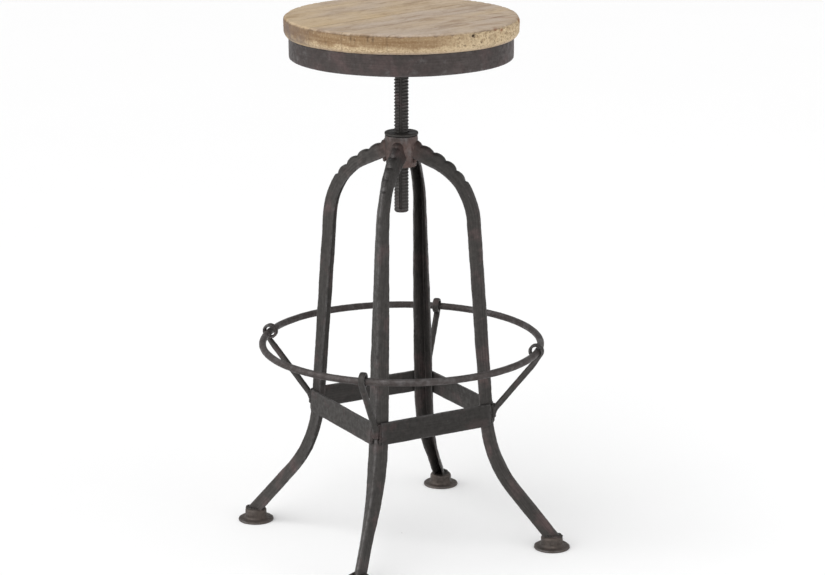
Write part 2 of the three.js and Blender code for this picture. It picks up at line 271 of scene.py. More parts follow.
def surface(name, grid, body, nodes, material, wrap_rows=False, ends="fan", wear=None, flow=None):
    """Makes a closed piece from a grid of points (rows, columns, 3) in millimetres and puts it on its body.

    Columns wrap round. Open ends are closed by a fan to their middle, or by a strip across a folded
    outline. wear is a mask of rubbed edges, and flow is (along, around) in millimetres, for streaks.
    """
    rows, columns = grid.shape[:2]
    points = grid.reshape(-1, 3)
    faces = [quad_faces(rows, columns, wrap_rows).reshape(-1, 4)]
    extra = 0
    if not wrap_rows:
        first, last = np.arange(columns), np.arange(columns) + (rows - 1) * columns
        if ends == "fan":
            middle = np.stack([grid[0].mean(axis=0), grid[-1].mean(axis=0)])
            points = np.concatenate([points, middle])
            faces += [fan_faces(first, rows * columns), fan_faces(last[::-1], rows * columns + 1)]
            extra = 2
        else:
            faces += [strip_faces(first), strip_faces(last[::-1])]
    faces = np.concatenate(faces)
    a, b, c, d = (points[faces[:, i]] for i in range(4))
    volume = (a * np.cross(b, c)).sum() + (a * np.cross(c, d)).sum()
    if volume < 0:
        faces = faces[:, [1, 0, 3, 2]]
    mesh = mesh_from(name, points * MM, faces)
    for mask, values in zip(("wear", "along", "around"), (wear, *(flow or (None, None)))):
        add_mask(mesh, mask, values, extra)
    return place(name, mesh, body, nodes, material)


def mesh_from(name, points, faces):
    """Mesh from points and faces of four corners, where a repeated neighbour makes a triangle."""
    keep = faces != np.roll(faces, 1, axis=1)
    counts = keep.sum(axis=1)
    corners = faces[keep]
    starts = np.concatenate([[0], np.cumsum(counts)[:-1]])
    mesh = bpy.data.meshes.new(name)
    mesh.vertices.add(len(points))
    mesh.vertices.foreach_set("co", points.astype(np.float32).ravel())
    mesh.loops.add(len(corners))
    mesh.loops.foreach_set("vertex_index", corners.astype(np.int32))
    mesh.polygons.add(len(faces))
    mesh.polygons.foreach_set("loop_start", starts.astype(np.int32))
    mesh.update(calc_edges=True)
    mesh.validate()
    mesh.shade_smooth()
    mesh.set_sharp_from_angle(angle=math.radians(50))
    return mesh


def add_mask(mesh, name, values, extra):
    """Stores one number per vertex, 0 where the piece has none."""
    layer = mesh.attributes.new(name, "FLOAT", "POINT")
    if values is None:
        return
    flat = values.ravel()
    layer.data.foreach_set("value", np.concatenate([flat, np.full(extra, flat[-1])]).astype(np.float32))


def place(name, mesh, body, nodes, material):
    """Puts a mesh in the scene, on its body, in place of its CAD nodes."""
    piece = bpy.data.objects.new(name, mesh)
    bpy.context.collection.objects.link(piece)
    mesh.materials.append(material)
    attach(piece, body)
    if nodes:
        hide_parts(*nodes)
    return piece


def round_grid(radius, height, angle):
    """Points (r cos a, r sin a, z), with the three spread over one grid."""
    return np.stack(np.broadcast_arrays(radius * np.cos(angle), radius * np.sin(angle), height), axis=-1)


def turned_grid(outline, columns):
    """Surface of revolution about Z of an outline of (radius, height)."""
    radius, height = np.asarray(outline).T[..., None]
    return round_grid(radius, height, full_turn(columns))


def full_turn(count):
    """That many angles evenly round a circle."""
    return np.linspace(0, 2 * np.pi, count, endpoint=False)


def spread(down_rows, along_columns):
    """A value for each row and a value for each column, each spread over the whole grid."""
    return np.broadcast_arrays(down_rows[:, None], along_columns[None])


def pushed(grid, amount, wrap_rows=False):
    """The grid with each point moved outward by its own amount."""
    return grid + outward(grid, wrap_rows) * amount[..., None]


def rounded_outline(corners, rounds, step=0.8, closed=False):
    """Points along straight runs through corners, each corner replaced by an arc of its own radius."""
    corners = np.asarray(corners, float)
    if closed:
        before, after = np.roll(corners, 1, axis=0), np.roll(corners, -1, axis=0)
        inner = corners
    else:
        before, after, inner = corners[:-2], corners[2:], corners[1:-1]
    pieces = [] if closed else [corners[:1]]
    for corner, back, ahead, bend in zip(inner, before, after, rounds):
        to_back, to_ahead = back - corner, ahead - corner
        to_back /= np.linalg.norm(to_back)
        to_ahead /= np.linalg.norm(to_ahead)
        half = math.acos(float(np.clip(to_back @ to_ahead, -1, 1))) / 2
        if bend <= 0:
            pieces.append(corner[None])
            continue
        middle = (to_back + to_ahead) / np.linalg.norm(to_back + to_ahead)
        centre = corner + middle * bend / math.sin(half)
        start = corner + to_back * bend / math.tan(half) - centre
        end = corner + to_ahead * bend / math.tan(half) - centre
        first = math.atan2(start[1], start[0])
        sweep = (math.atan2(end[1], end[0]) - first + math.pi) % (2 * math.pi) - math.pi
        angle = first + sweep * np.linspace(0, 1, max(4, int(abs(sweep) * bend / step) + 2))
        pieces.append(centre + bend * np.stack([np.cos(angle), np.sin(angle)], axis=-1))
    if not closed:
        pieces.append(corners[-1:])
    return np.concatenate(pieces)


def resample(path, step, closed=False):
    """The same path with points at an even distance, and that distance along it."""
    if closed:
        path = np.concatenate([path, path[:1]])
    gaps = np.linalg.norm(np.diff(path, axis=0), axis=1)
    distance = np.concatenate([[0], np.cumsum(gaps)])
    count = max(3, int(round(distance[-1] / step)))
    at = np.linspace(0, distance[-1], count + 1)
    if closed:
        at = at[:-1]
    return np.stack([np.interp(at, distance, path[:, i]) for i in range(path.shape[1])], axis=-1), at


def even_outline(corners, rounds, arc_step, step, closed=True):
    """A rounded outline with its points at an even distance, and that distance along it."""
    return resample(rounded_outline(corners, rounds, arc_step, closed), step, closed)


def superellipse(angle, power):
    """The two parts of |x|^n + |y|^n = 1 at each angle, where power is 2 / n."""
    across, up = np.cos(angle), np.sin(angle)
    return np.sign(across) * np.abs(across) ** power, np.sign(up) * np.abs(up) ** power


def facing(points, angle):
    """Turns points about Z, so that their +X points at the angle."""
    c, s = math.cos(angle), math.sin(angle)
    return points @ np.array([[c, s, 0], [-s, c, 0], [0, 0, 1]])


def upright_sweep(path, section):
    """Carries a section along a path of (radius, height) that stands in the XZ plane.

    section is (stations, points, 2): across the path, to the path's left seen along -Y, and along Y.
    """
    tangent = np.gradient(path, axis=0)
    tangent /= np.linalg.norm(tangent, axis=1)[:, None]
    left = np.stack([-tangent[:, 1], tangent[:, 0]], axis=-1)
    out = path[:, None] + section[..., :1] * left[:, None]
    return np.stack([out[..., 0], section[..., 1], out[..., 1]], axis=-1)


def tube(path, radius, sides=12):
    """Round bar along a free path of points (x, y, z), with its ends drawn in to a dome."""
    tangent = np.gradient(path, axis=0)
    tangent /= np.linalg.norm(tangent, axis=1)[:, None]
    helper = np.array([0.31, 0.17, 0.94])
    side = np.cross(tangent, helper)
    side /= np.linalg.norm(side, axis=1)[:, None]
    third = np.cross(tangent, side)
    angle = full_turn(sides)
    end = np.linspace(0, 1, len(path))
    dome = np.sqrt(np.clip(1 - (np.abs(2 * end - 1) ** 12), 0.02, 1))
    spread = radius * dome[:, None, None]
    return path[:, None] + spread * (
        np.cos(angle)[None, :, None] * side[:, None] + np.sin(angle)[None, :, None] * third[:, None]
    )


# ---------------------------------------------------------------- shader helpers


class Signal:
    """A node's output that can be reckoned with: each sum adds one maths node to its tree."""

    def __init__(self, socket):
        self.socket = socket

    def __add__(self, other):
        return maths("ADD", self, other)

    def __sub__(self, other):
        return maths("SUBTRACT", self, other)

    def __rsub__(self, other):
        return maths("SUBTRACT", other, self)

    def __mul__(self, other):
        return maths("MULTIPLY", self, other)

    def __truediv__(self, other):
        return maths("DIVIDE", self, other)

    def __rtruediv__(self, other):
        return maths("DIVIDE", other, self)

    def held(self):
        """The same value, kept between 0 and 1 by the maths node that makes it."""
        self.socket.node.use_clamp = True
        return self


def signals(node):
    """The outputs of a node, by name."""
    return {socket.name: Signal(socket) for socket in node.outputs}


def tree_of(*values):
    """Node tree of the first signal among the values."""
    return next(value.socket.id_data for value in values if isinstance(value, Signal))


def connect(socket, value):
    """Links a socket to a signal, or gives it a plain value."""
    if isinstance(value, Signal):
        socket.id_data.links.new(value.socket, socket)
    else:
        socket.default_value = value


def put(tree, kind, settings, inputs):
    """Adds a node, sets its own settings, and links or sets its inputs by name or number."""
    node = tree.nodes.new(kind)
    for name, value in settings.items():
        setattr(node, name, value)
    for name, value in inputs.items():
        connect(node.inputs[name], value)
    return node


def maths(operation, first, second=0.0):
    """One step of arithmetic on signals and plain numbers."""
    node = put(tree_of(first, second), "ShaderNodeMath", {"operation": operation}, {0: first, 1: second})
    return Signal(node.outputs[0])


def blend(factor, first, second, mode="MIX"):
    """Mixes two colours, each a signal or plain red, green and blue."""
    colours = [value if isinstance(value, Signal) else (*value[:3], 1.0) for value in (first, second)]
    settings = {"data_type": "RGBA", "blend_type": mode, "clamp_factor": True}
    inputs = {0: factor, 6: colours[0], 7: colours[1]}
    return Signal(put(tree_of(factor, first, second), "ShaderNodeMix", settings, inputs).outputs[2])


def remap(value, start, end, low_value=0.0, high_value=1.0):
    """Smoothly carries a value from one range to another."""
    inputs = {"Value": value, "From Min": start, "From Max": end, "To Min": low_value, "To Max": high_value}
    node = put(tree_of(value), "ShaderNodeMapRange", {"interpolation_type": "SMOOTHSTEP"}, inputs)
    return Signal(node.outputs[0])


def stain(base, colour, mask, start, end, most):
    """Brings a colour in over a base, up to its most, as a mask goes from start to end."""
    return blend(remap(mask, start, end, 0.0, most), base, colour)


def noise(vector, scale, detail=4.0, roughness=0.55, distortion=0.0):
    """Fractal noise, 0 to 1."""
    inputs = {"Vector": vector, "Scale": scale, "Detail": detail, "Roughness": roughness,
              "Distortion": distortion}
    return Signal(put(tree_of(vector), "ShaderNodeTexNoise", {}, inputs).outputs["Fac"])


def combined(x, y, z=0.0):
    """A vector from its three parts."""
    return Signal(put(tree_of(x, y, z), "ShaderNodeCombineXYZ", {}, {"X": x, "Y": y, "Z": z}).outputs[0])


def separated(vector):
    """The three parts of a vector."""
    return [Signal(part) for part in put(tree_of(vector), "ShaderNodeSeparateXYZ", {}, {0: vector}).outputs]


def mapped(vector, how, factors):
    """A vector after a mapping whose Scale or Rotation, named by how, is set."""
    node = put(tree_of(vector), "ShaderNodeMapping", {}, {"Vector": vector, how: factors})
    return Signal(node.outputs[0])


def drawn_noise(vector, factors, *character):
    """Noise drawn out by a factor along each axis."""
    return noise(mapped(vector, "Scale", factors), 1.0, *character)


def attribute(tree, name):
    """A mask stored on the piece."""
    return Signal(put(tree, "ShaderNodeAttribute", {"attribute_name": name}, {}).outputs["Fac"])


def open_group(name, inputs, outputs):
    """A new node group from {name: kind} of its sockets: the group, its given signals and its results."""
    group = bpy.data.node_groups.new(name, "ShaderNodeTree")
    for way, sockets in (("INPUT", inputs), ("OUTPUT", outputs)):
        for socket_name, kind in sockets.items():
            group.interface.new_socket(name=socket_name, in_out=way, socket_type="NodeSocket" + kind)
    given = signals(group.nodes.new("NodeGroupInput"))
    return group, given, group.nodes.new("NodeGroupOutput").inputs


def use_group(tree, name, make, inputs):
    """Places the node group of that name, made the first time, and returns its outputs."""
    group = bpy.data.node_groups.get(name) or make(name)
    return signals(put(tree, "ShaderNodeGroup", {"node_tree": group}, inputs))


# ---------------------------------------------------------------- shared effects


def make_patina(name):
    """Blotches of three irons: dark ground, warm clouds and pale rubbed patches."""
    group, given, result = open_group(
        name,
        {"Vector": "Vector", "Dark": "Color", "Warm": "Color", "Pale": "Color", "Warmth": "Float",
         "Rubbing": "Float"},
        {"Color": "Color", "Rubbed": "Float"},
    )
    clouds = noise(given["Vector"], 26.0, 5.0, 0.6, 0.4)
    patches = noise(given["Vector"], 61.0, 6.0, 0.65, 0.2)
    fine = noise(given["Vector"], 310.0, 3.0, 0.6)
    warm = ((clouds - (0.72 - given["Warmth"] * 0.36)) * 6.0).held()
    pale = ((patches - (0.78 - given["Rubbing"] * 0.34)) * 4.0).held()
    ground = blend(warm, given["Dark"], given["Warm"])
    rubbed = blend(pale * 0.75, ground, given["Pale"])
    speckled = blend(remap(fine, 0.35, 0.75, 0.0, 0.35), rubbed, given["Dark"], "MULTIPLY")
    connect(result["Color"], blend(0.55, rubbed, speckled))
    connect(result["Rubbed"], pale)
    return group


def make_edge_wear(name):
    """Rubbed edges: the stored mask broken up by noise."""
    group, given, result = open_group(
        name, {"Vector": "Vector", "Edge": "Float", "Amount": "Float"}, {"Mask": "Float"})
    broken = remap(noise(given["Vector"], 90.0, 5.0, 0.7), 0.32, 0.68)
    connect(result["Mask"], (given["Edge"] * broken * given["Amount"]).held())
    return group


def make_streaks(name):
    """Long rolling marks: noise drawn out along the piece."""
    inputs = {"Along": "Float", "Around": "Float", "Length": "Float", "Width": "Float"}
    group, given, result = open_group(name, inputs, {"Value": "Float"})
    vector = combined(given["Along"] / given["Length"], given["Around"] / given["Width"])
    connect(result["Value"], noise(vector, 1.0, 3.0, 0.6))
    return group


def make_cast_grain(name):
    """Height of sand-cast or hammered iron: coarse lumps with a fine grain on them."""
    group, given, result = open_group(
        name, {"Vector": "Vector", "Size": "Float", "Grain": "Float"}, {"Height": "Float"})
    scale = 1000.0 / given["Size"]
    lumps = noise(given["Vector"], scale, 2.0, 0.5)
    fine = noise(given["Vector"], scale * 4.5, 3.0, 0.5)
    connect(result["Height"], lumps + fine * given["Grain"])
    return group


def make_pits(name):
    """Scattered small dark pits: the near side of Voronoi cells, thinned by noise."""
    group, given, result = open_group(
        name, {"Vector": "Vector", "Size": "Float", "Amount": "Float"}, {"Mask": "Float"})
    scale = 1000.0 / given["Size"]
    cells = put(group, "ShaderNodeTexVoronoi", {}, {"Vector": given["Vector"], "Scale": scale})
    spot = remap(signals(cells)["Distance"], 0.30, 0.12)
    thin = ((noise(given["Vector"], 120.0, 3.0) - (0.75 - given["Amount"] * 0.4)) * 7.0).held()
    connect(result["Mask"], spot * thin)
    return group


def make_timber(name):
    """Grain of glued boards that run along X: a tone for each, dark growth lines and pores, and joints."""
    group, given, result = open_group(
        name,
        {"Vector": "Vector", "Board": "Float", "Offset": "Float"},
        {"Tone": "Float", "Lines": "Float", "Joint": "Float", "Height": "Float", "Figure": "Float"},
    )
    x, y, z = separated(given["Vector"])
    boards_in = (y - given["Offset"]) / given["Board"] + 9.0
    board = maths("FLOOR", boards_in)
    shift = board * 3.7
    own = combined(x + shift, y, z + shift * 0.31)
    bend = drawn_noise(own, (3.0, 14.0, 14.0), 2.0)
    figure = drawn_noise(own, (5.0, 95.0, 60.0), 5.0, 0.62, 1.1)
    pores = drawn_noise(own, (22.0, 640.0, 420.0), 3.0, 0.6)
    lines = put(group, "ShaderNodeTexWave", {"bands_direction": "Y"}, {
        "Vector": mapped(own, "Scale", (1.6, 17.0, 14.0)), "Scale": 1.0, "Distortion": 8.0,
        "Detail": 4.0, "Detail Scale": 1.3, "Detail Roughness": 0.6,
    })
    dark = remap(signals(lines)["Fac"], 0.62, 0.95) * remap(bend, 0.35, 0.65, 0.25, 1.0)
    pore_dark = remap(pores, 0.56, 0.72)
    from_joint = 0.5 - maths("ABSOLUTE", maths("FRACT", boards_in) - 0.5)
    connect(result["Tone"], maths("COSINE", (board - 8.0) * 2.4) * 0.5 + 0.5)
    connect(result["Lines"], (dark * 0.55 + pore_dark * 0.45).held())
    connect(result["Joint"], remap(from_joint, 0.016, 0.003))
    connect(result["Height"], figure * 0.6 - pore_dark * 0.5 - dark * 0.35)
    connect(result["Figure"], figure)
    return group


# ---------------------------------------------------------------- materials


def new_material(name):
    """An empty material, its tree, its shader and its object coordinates."""
    material = bpy.data.materials.new(name)
    material.use_nodes = True
    tree = material.node_tree
    where = signals(tree.nodes.new("ShaderNodeTexCoord"))["Object"]
    return material, tree, tree.nodes["Principled BSDF"], where


def bump(shader, height, distance, strength):
    """Feeds the shader's normal from a height."""
    inputs = {"Height": height, "Distance": distance, "Strength": strength}
    node = put(tree_of(height), "ShaderNodeBump", {}, inputs)
    connect(shader.inputs["Normal"], Signal(node.outputs[0]))


# Each iron: warmth, rubbing, warm colour, lump size, grain, bump depth, streaks, edge wear, and how near
# its dark ground comes to its warm clouds
IRONS = {
    "leg_patina": (0.52, 0.46, "iron_warm", 5.0, 0.35, 0.35, 0.22, 1.0, 0.0),  # grey-brown, streaked
    "bar_patina": (0.50, 0.36, "iron_warm", 4.0, 0.30, 0.25, 0.12, 1.0, 0.0),  # a little plainer
    "ring_patina": (0.24, 0.88, "iron_warm", 4.0, 0.30, 0.25, 0.14, 1.0, 0.3),  # rubbed paler by shoes
    "band_patina": (0.72, 0.58, "iron_warm", 7.0, 0.25, 0.22, 0.10, 1.0, 0.3),  # purple-brown and grey
    "cast_patina": (0.80, 0.62, "cast_warm", 2.6, 0.90, 0.40, 0.04, 1.0, 0.3),  # sand-cast and redder
    "foot_patina": (0.74, 0.55, "foot_warm", 2.6, 0.90, 0.40, 0.04, 1.0, 0.5),  # sand-cast and greyer
    "screw_patina": (0.45, 0.25, "iron_warm", 2.0, 0.40, 0.12, 0.05, 0.8, 0.0),  # oiled and dark
}


def iron(name):
    """One of the irons, from warm clouds, rubbed patches, rolling marks and bright worn edges.

    A piece's own masks darken it (shade: painted shade in the legs' crimp valleys, and some stretchers
    drawn darker throughout) and brown it by its welds (weld_heat).
    """
    if name in bpy.data.materials:
        return bpy.data.materials[name]
    warmth, rubbing, warm_colour, lump_size, grain, bump_depth, streaks, wear_amount, even = IRONS[name]
    finish = bpy.context.scene.stool_finish
    warm = getattr(finish, warm_colour)
    dark = [ground + (cloud - ground) * even for ground, cloud in zip(finish.iron_dark, warm)]
    material, tree, shader, where = new_material(name)
    patina = use_group(tree, "Iron patina", make_patina, {
        "Vector": where, "Dark": (*dark, 1), "Warm": (*warm, 1), "Pale": (*finish.iron_pale, 1),
        "Warmth": warmth, "Rubbing": rubbing,
    })
    marks = use_group(tree, "Rolling streaks", make_streaks, {
        "Along": attribute(tree, "along"), "Around": attribute(tree, "around"),
        "Length": 46.0, "Width": 2.2,
    })["Value"]
    edge = use_group(tree, "Edge wear", make_edge_wear, {
        "Vector": where, "Edge": attribute(tree, "wear"), "Amount": wear_amount,
    })["Mask"]
    lumps = use_group(tree, "Cast grain", make_cast_grain, {
        "Vector": where, "Size": lump_size, "Grain": grain,
    })["Height"]
    shade = remap(marks, 0.3, 0.7, 1.0 - streaks, 1.0 + streaks) * (1.0 - attribute(tree, "shade"))
    tinted = blend(1.0, patina["Color"], shade, "MULTIPLY")
    heated = blend(attribute(tree, "weld_heat"), tinted, finish.weld_brown)
    rough = remap(noise(where, 140.0), 0.3, 0.7, 0.46, 0.68)
    connect(shader.inputs["Base Color"], blend(edge * 0.6, heated, finish.iron_pale))
    connect(shader.inputs["Roughness"], rough - (patina["Rubbed"] + edge) * 0.10)
    connect(shader.inputs["Metallic"], 0.62)
    connect(shader.inputs["Specular IOR Level"], 0.45)
    bump(shader, lumps + marks * (2.5 * streaks), bump_depth * MM, 0.8)
    return material


def seat_timber():
    """Weathered glued boards: grey-tan on top, golden and banded round the side, pitted on one quarter."""
    finish = bpy.context.scene.stool_finish
    material, tree, shader, where = new_material("weathered_timber")
    along_grain = mapped(where, "Rotation", (0.0, 0.0, -GRAIN_TURN))
    timber = use_group(tree, "Board grain", make_timber, {
        "Vector": along_grain, "Board": bpy.context.scene.stool_seat.board_width,
        "Offset": JOINT_OFFSET * MM,
    })
    rim, edge, pitted_side, dusky, rusty, hollow = (
        attribute(tree, name)
        for name in ("rim", "edge_line", "rough_side", "dusky_side", "rust_stain", "hollow")
    )
    pits = use_group(tree, "Pits", make_pits, {"Vector": where, "Size": 3.6, "Amount": pitted_side})["Mask"]
    blotches = drawn_noise(along_grain, (15.0, 42.0, 42.0), 5.0, 0.65, 0.5)
    top = weathered_top(along_grain, timber, blotches, finish)
    dusk = dusky * remap(noise(where, 60.0, 4.0, 0.6), 0.3, 0.7, 0.45, 0.9)
    side = blend(dusk, banded_side(tree, finish, pitted_side), finish.wood_dusky)
    burnt = edge * remap(noise(where, 95.0, 4.0, 0.65), 0.36, 0.60)
    seam = timber["Joint"] * remap(rim, 0.0, 1.0, 0.40, 0.12)
    colour = blend(rim, top, side)
    for mask, mark_colour in (
        (pits * (rim * 0.8), finish.wood_pit),
        (burnt * 0.7, finish.wood_pit),
        (seam, finish.wood_seam),
        (rusty * remap(blotches, 0.3, 0.5), finish.wood_rust),
        # Near-black in the rim's holes: dark knots, and painted shade inside the deep holes.
        (hollow, finish.wood_knot_and_hollow_shade),
    ):
        colour = blend(mask, colour, mark_colour)
    connect(shader.inputs["Base Color"], colour)
    connect(shader.inputs["Roughness"], remap(timber["Figure"], 0.3, 0.7, 0.62, 0.82))
    connect(shader.inputs["Specular IOR Level"], 0.3)
    bump(shader, timber["Height"] - timber["Joint"] * 1.2 - pits * 1.2, 0.6 * MM, 0.9)
    return material


def weathered_top(along_grain, timber, blotches, finish):
    """Colour of the seat's top: pale boards gone grey, stained, figured and lined, with a dry speckle."""
    across = separated(along_grain)[1]
    front = remap(across, JOINT_OFFSET * MM, (JOINT_OFFSET - 45) * MM, 0.0, 0.45)
    clouds = drawn_noise(along_grain, (6.0, 11.0, 11.0), 4.0, 0.6, 0.6)
    speckle = drawn_noise(along_grain, (150.0, 380.0, 380.0), 3.0, 0.65)
    weathered = (front + (timber["Tone"] * 0.3 + (clouds - 0.42) * 2.6)).held()
    colour = blend(weathered, finish.wood_pale, finish.wood_grey)
    colour = stain(colour, finish.wood_brown, blotches, 0.44, 0.70, 0.52)
    colour = stain(colour, finish.wood_brown, timber["Figure"], 0.36, 0.68, 0.17)
    colour = blend(timber["Lines"] * 0.17, colour, finish.wood_brown)
    colour = stain(colour, finish.wood_brown, speckle, 0.52, 0.72, 0.24)
    return stain(colour, finish.wood_cream, speckle, 0.46, 0.30, 0.22)


def banded_side(tree, finish, pitted_side):
    """Colour of the rim: growth bands that run round it, end-grain streaks, and a paler worn lower edge."""
    unrolled = combined(attribute(tree, "around"), attribute(tree, "along"))
    bands = drawn_noise(unrolled, (0.012, 0.20, 1.0), 5.0, 0.62, 0.5)
    streaks = drawn_noise(unrolled, (0.42, 0.05, 1.0), 5.0, 0.65)
    mottle = drawn_noise(unrolled, (0.11, 0.16, 1.0), 4.0)
    flecks = drawn_noise(unrolled, (0.30, 0.34, 1.0), 4.0, 0.7)
    golden = stain(finish.side_golden, finish.wood_brown, bands, 0.40, 0.62, 0.75)
    streaked = stain(golden, finish.wood_brown, streaks, 0.44, 0.70, 0.6)
    speckled = stain(finish.wood_cream, finish.side_golden, mottle, 0.40, 0.66, 0.65)
    clean = blend(pitted_side, streaked, speckled)
    dirt = remap(flecks, 0.50, 0.68) * remap(pitted_side, 0.0, 1.0, 0.5, 0.8)
    dirtied = blend(dirt, clean, finish.wood_brown)
    side = stain(dirtied, finish.wood_cream, flecks, 0.44, 0.30, 0.55)
    patchy = remap(flecks, 0.62, 0.42, 0.25, 1.0)
    return blend(attribute(tree, "worn_foot") * patchy, side, finish.wood_cream)


# ---------------------------------------------------------------- pieces of the seat


def wood_outline(size):
    """Outline of the seat from the middle of its top, over a rounded rim, to the middle underneath."""
    top, bottom, radius = size.top, size.bottom, size.radius
    flat = [[r, top] for r in np.linspace(1.0, radius - 8, 62)]
    corners = [[radius - 8, top], [radius, top], [radius, bottom], [radius - 12, bottom]]
    rim, _ = even_outline(corners, [5.5, 8.5], 1.0, 1.25, closed=False)
    under = [[r, bottom] for r in np.linspace(radius - 14, 1.0, 5)]
    return np.array([*flat, *rim, *under])


# Marks on the rim, each (angle in degrees, height above the underside, half width, half height, strength)
HOLLOWS = (
    (-83, 23, 2.6, 1.8, 4.5), (-91, 22, 1.3, 1.0, 1.6), (-91.6, 10, 1.7, 1.1, 1.8),
    (-87.8, 10, 1.7, 1.2, 2.0), (-78, 11.5, 1.9, 1.3, 1.8), (-73, 17, 1.3, 1.1, 1.4),
    (-66, 8, 1.5, 1.2, 1.6), (-58, 19, 1.6, 1.1, 1.6), (-50, 12, 1.8, 1.2, 1.7),
    (-42, 21, 1.4, 1.1, 1.5), (-144, 22, 1.3, 4.0, 1.3), (-142, 20, 0.9, 3.0, 1.0),
    (-135.3, 22, 0.9, 5.0, 1.9), (-132.8, 23, 0.9, 5.0, 1.9), (-158, 12, 1.0, 2.0, 1.2),
    (-120, 26, 1.8, 1.2, 1.3), (20, 17, 1.5, 3.0, 1.5), (75, 22, 1.0, 5.0, 1.6),
    (118, 9, 1.6, 1.4, 1.8), (150, 20, 0.9, 4.0, 1.6),
)
RUST_STAINS = (
    (-68, 27, 4.5, 2.2, 1.0), (-63, 24, 3.5, 3.0, 0.9), (-38, 26, 7.0, 3.5, 0.7), (-119, 27, 4.0, 1.5, 0.6),
)


def past(angle, middle):
    """How far each angle is past a middle one, in degrees between -180 and 180."""
    return (angle - middle + 180) % 360 - 180


def marks(angle, up, radius, places):
    """Sum over the places of strength * exp(-(across / half width)^2 - (rise / half height)^2)."""
    middle, height, wide, tall, strength = (np.array(column)[:, None, None] for column in zip(*places))
    across = radius * np.radians(past(angle, middle))
    return (strength * np.exp(-(across / wide) ** 2 - ((up - height) / tall) ** 2)).sum(axis=0)


def wear_the_wood(grid, size):
    """Soft waves, open joints, chips, pits and hollows, all cut inward from the true shape.

    Each point moves inward along its normal by a sum of ripples, of exp(-(distance to a joint / 1.3)^2) and
    of the marks. Returns the worn grid and the masks that colour it.
    """
    top, radius = size.top, size.radius
    normal = outward(grid)
    x, y, z = np.moveaxis(grid, -1, 0)
    reach = np.hypot(x, y)
    angle = np.degrees(np.arctan2(y, x))
    on_rim = smoothstep(reach, radius - 6, radius - 0.5)
    on_top = smoothstep(z, top - 1.5, top - 0.1)
    height = (z - size.bottom) / (top - size.bottom)
    waves = 0.35 * (1 + ripples(grid, 120.0, 3)) + 0.18 * (1 + ripples(grid * [0.12, 1, 1], 9.0, 4))
    rim_waves = on_rim * (0.8 * (1 + ripples(grid, 60.0, 5)) + 0.35 * (1 + ripples(grid, 14.0, 6)))
    across = y * math.cos(GRAIN_TURN) - x * math.sin(GRAIN_TURN) - JOINT_OFFSET
    joint = np.abs(across / size.board_width - np.round(across / size.board_width)) * size.board_width
    grooves = 0.5 * np.exp(-(joint / 1.3) ** 2)
    corner = np.exp(-((reach - radius + 2) / 3.5) ** 2 - ((z - top + 2) / 3.5) ** 2)
    chips = 2.6 * corner * np.clip(ripples(grid, 17.0, 7) * 1.7 - 0.35, 0, 1)
    # the rougher quarter of the rim faces between the -Y and +X sides
    rough = on_rim * np.exp(-((angle + 68) / 27) ** 2) * smoothstep(height, 0.02, 0.2)
    pitting = 1.1 * rough * np.clip(ripples(grid, 5.2, 8, 30) * 2.0 - 0.35, 0, 1)
    hole = on_rim * marks(angle, z - size.bottom, radius, HOLLOWS)
    inward = waves * (0.35 + 0.65 * on_rim) + rim_waves + grooves * np.maximum(on_top, 0.3 * on_rim) + chips
    inward = np.maximum(inward, 0) + pitting + hole
    foot_edge = 0.14 * ripples(grid * [1, 1, 0], 26.0, 9) - height
    masks = {
        "rim": on_rim * smoothstep(-normal[..., 2], -0.92, -0.45),
        "edge_line": np.exp(-((reach - radius + 1.5) / 2.4) ** 2 - ((z - top + 2.0) / 3.0) ** 2)
        * (0.45 + 0.55 * np.exp(-(past(angle, -165) / 62) ** 4)),
        "rough_side": np.exp(-((angle + 62) / 36) ** 4),
        "worn_foot": on_rim * smoothstep(foot_edge, -0.48, -0.20) * 0.9,
        "dusky_side": np.exp(-(past(angle, 165) / 28) ** 4),
        "rust_stain": np.clip(marks(angle, z - size.bottom, radius, RUST_STAINS), 0, 1),
        # Painted shade inside the holes cut into the rim, darker the deeper they go, and dark knots.
        "hollow": np.clip(hole / 2.6, 0, 0.95),
    }
    return grid - normal * inward[..., None], masks


def make_wood_seat():
    """Wooden seat, a turned outline worn by hand."""
    size = Sizes("stool_seat")
    grid = turned_grid(wood_outline(size), 720)
    worn, masks = wear_the_wood(grid, size)
    around = np.arctan2(grid[..., 1], grid[..., 0]) * size.radius
    piece = surface("seat_timber", worn, "seat", ["seat_wood"], seat_timber(),
                    flow=(grid[..., 2], around))
    for name, values in masks.items():
        add_mask(piece.data, name, values, 2)


def make_seat_band():
    """Iron band: a thin rounded rectangle turned about Z, slightly out of true."""
    size = Sizes("stool_seat")
    bottom, top = low("seat_band")[2], high("seat_band")[2]
    outer, inner = size.band_radius, size.band_radius - size.band_wall
    corners = [[outer, top], [outer, bottom], [inner, bottom], [inner, top]]
    outline, at = even_outline(corners, [0.5, 1.3, 1.3, 0.5], 0.3, 1.6)
    columns = 540
    grid = turned_grid(outline, columns)
    dent = 0.45 * (1 + ripples(grid, 90.0, 11)) + 0.12 * (1 + ripples(grid, 16.0, 12))
    outside = np.where(outline[:, 0] > outer - 1, 1.0, 0.3)[:, None]
    near_edge = np.exp(-(outline[:, 1] - bottom) / 1.6) + 0.6 * np.exp(-(top - outline[:, 1]) / 1.2)
    around, along = spread(at, full_turn(columns) * outer)
    surface("seat_band_iron", pushed(grid, -dent * outside, True), "seat", ["seat_band"],
            iron("band_patina"), wrap_rows=True, wear=spread(near_edge, np.zeros(columns))[0],
            flow=(along, around))


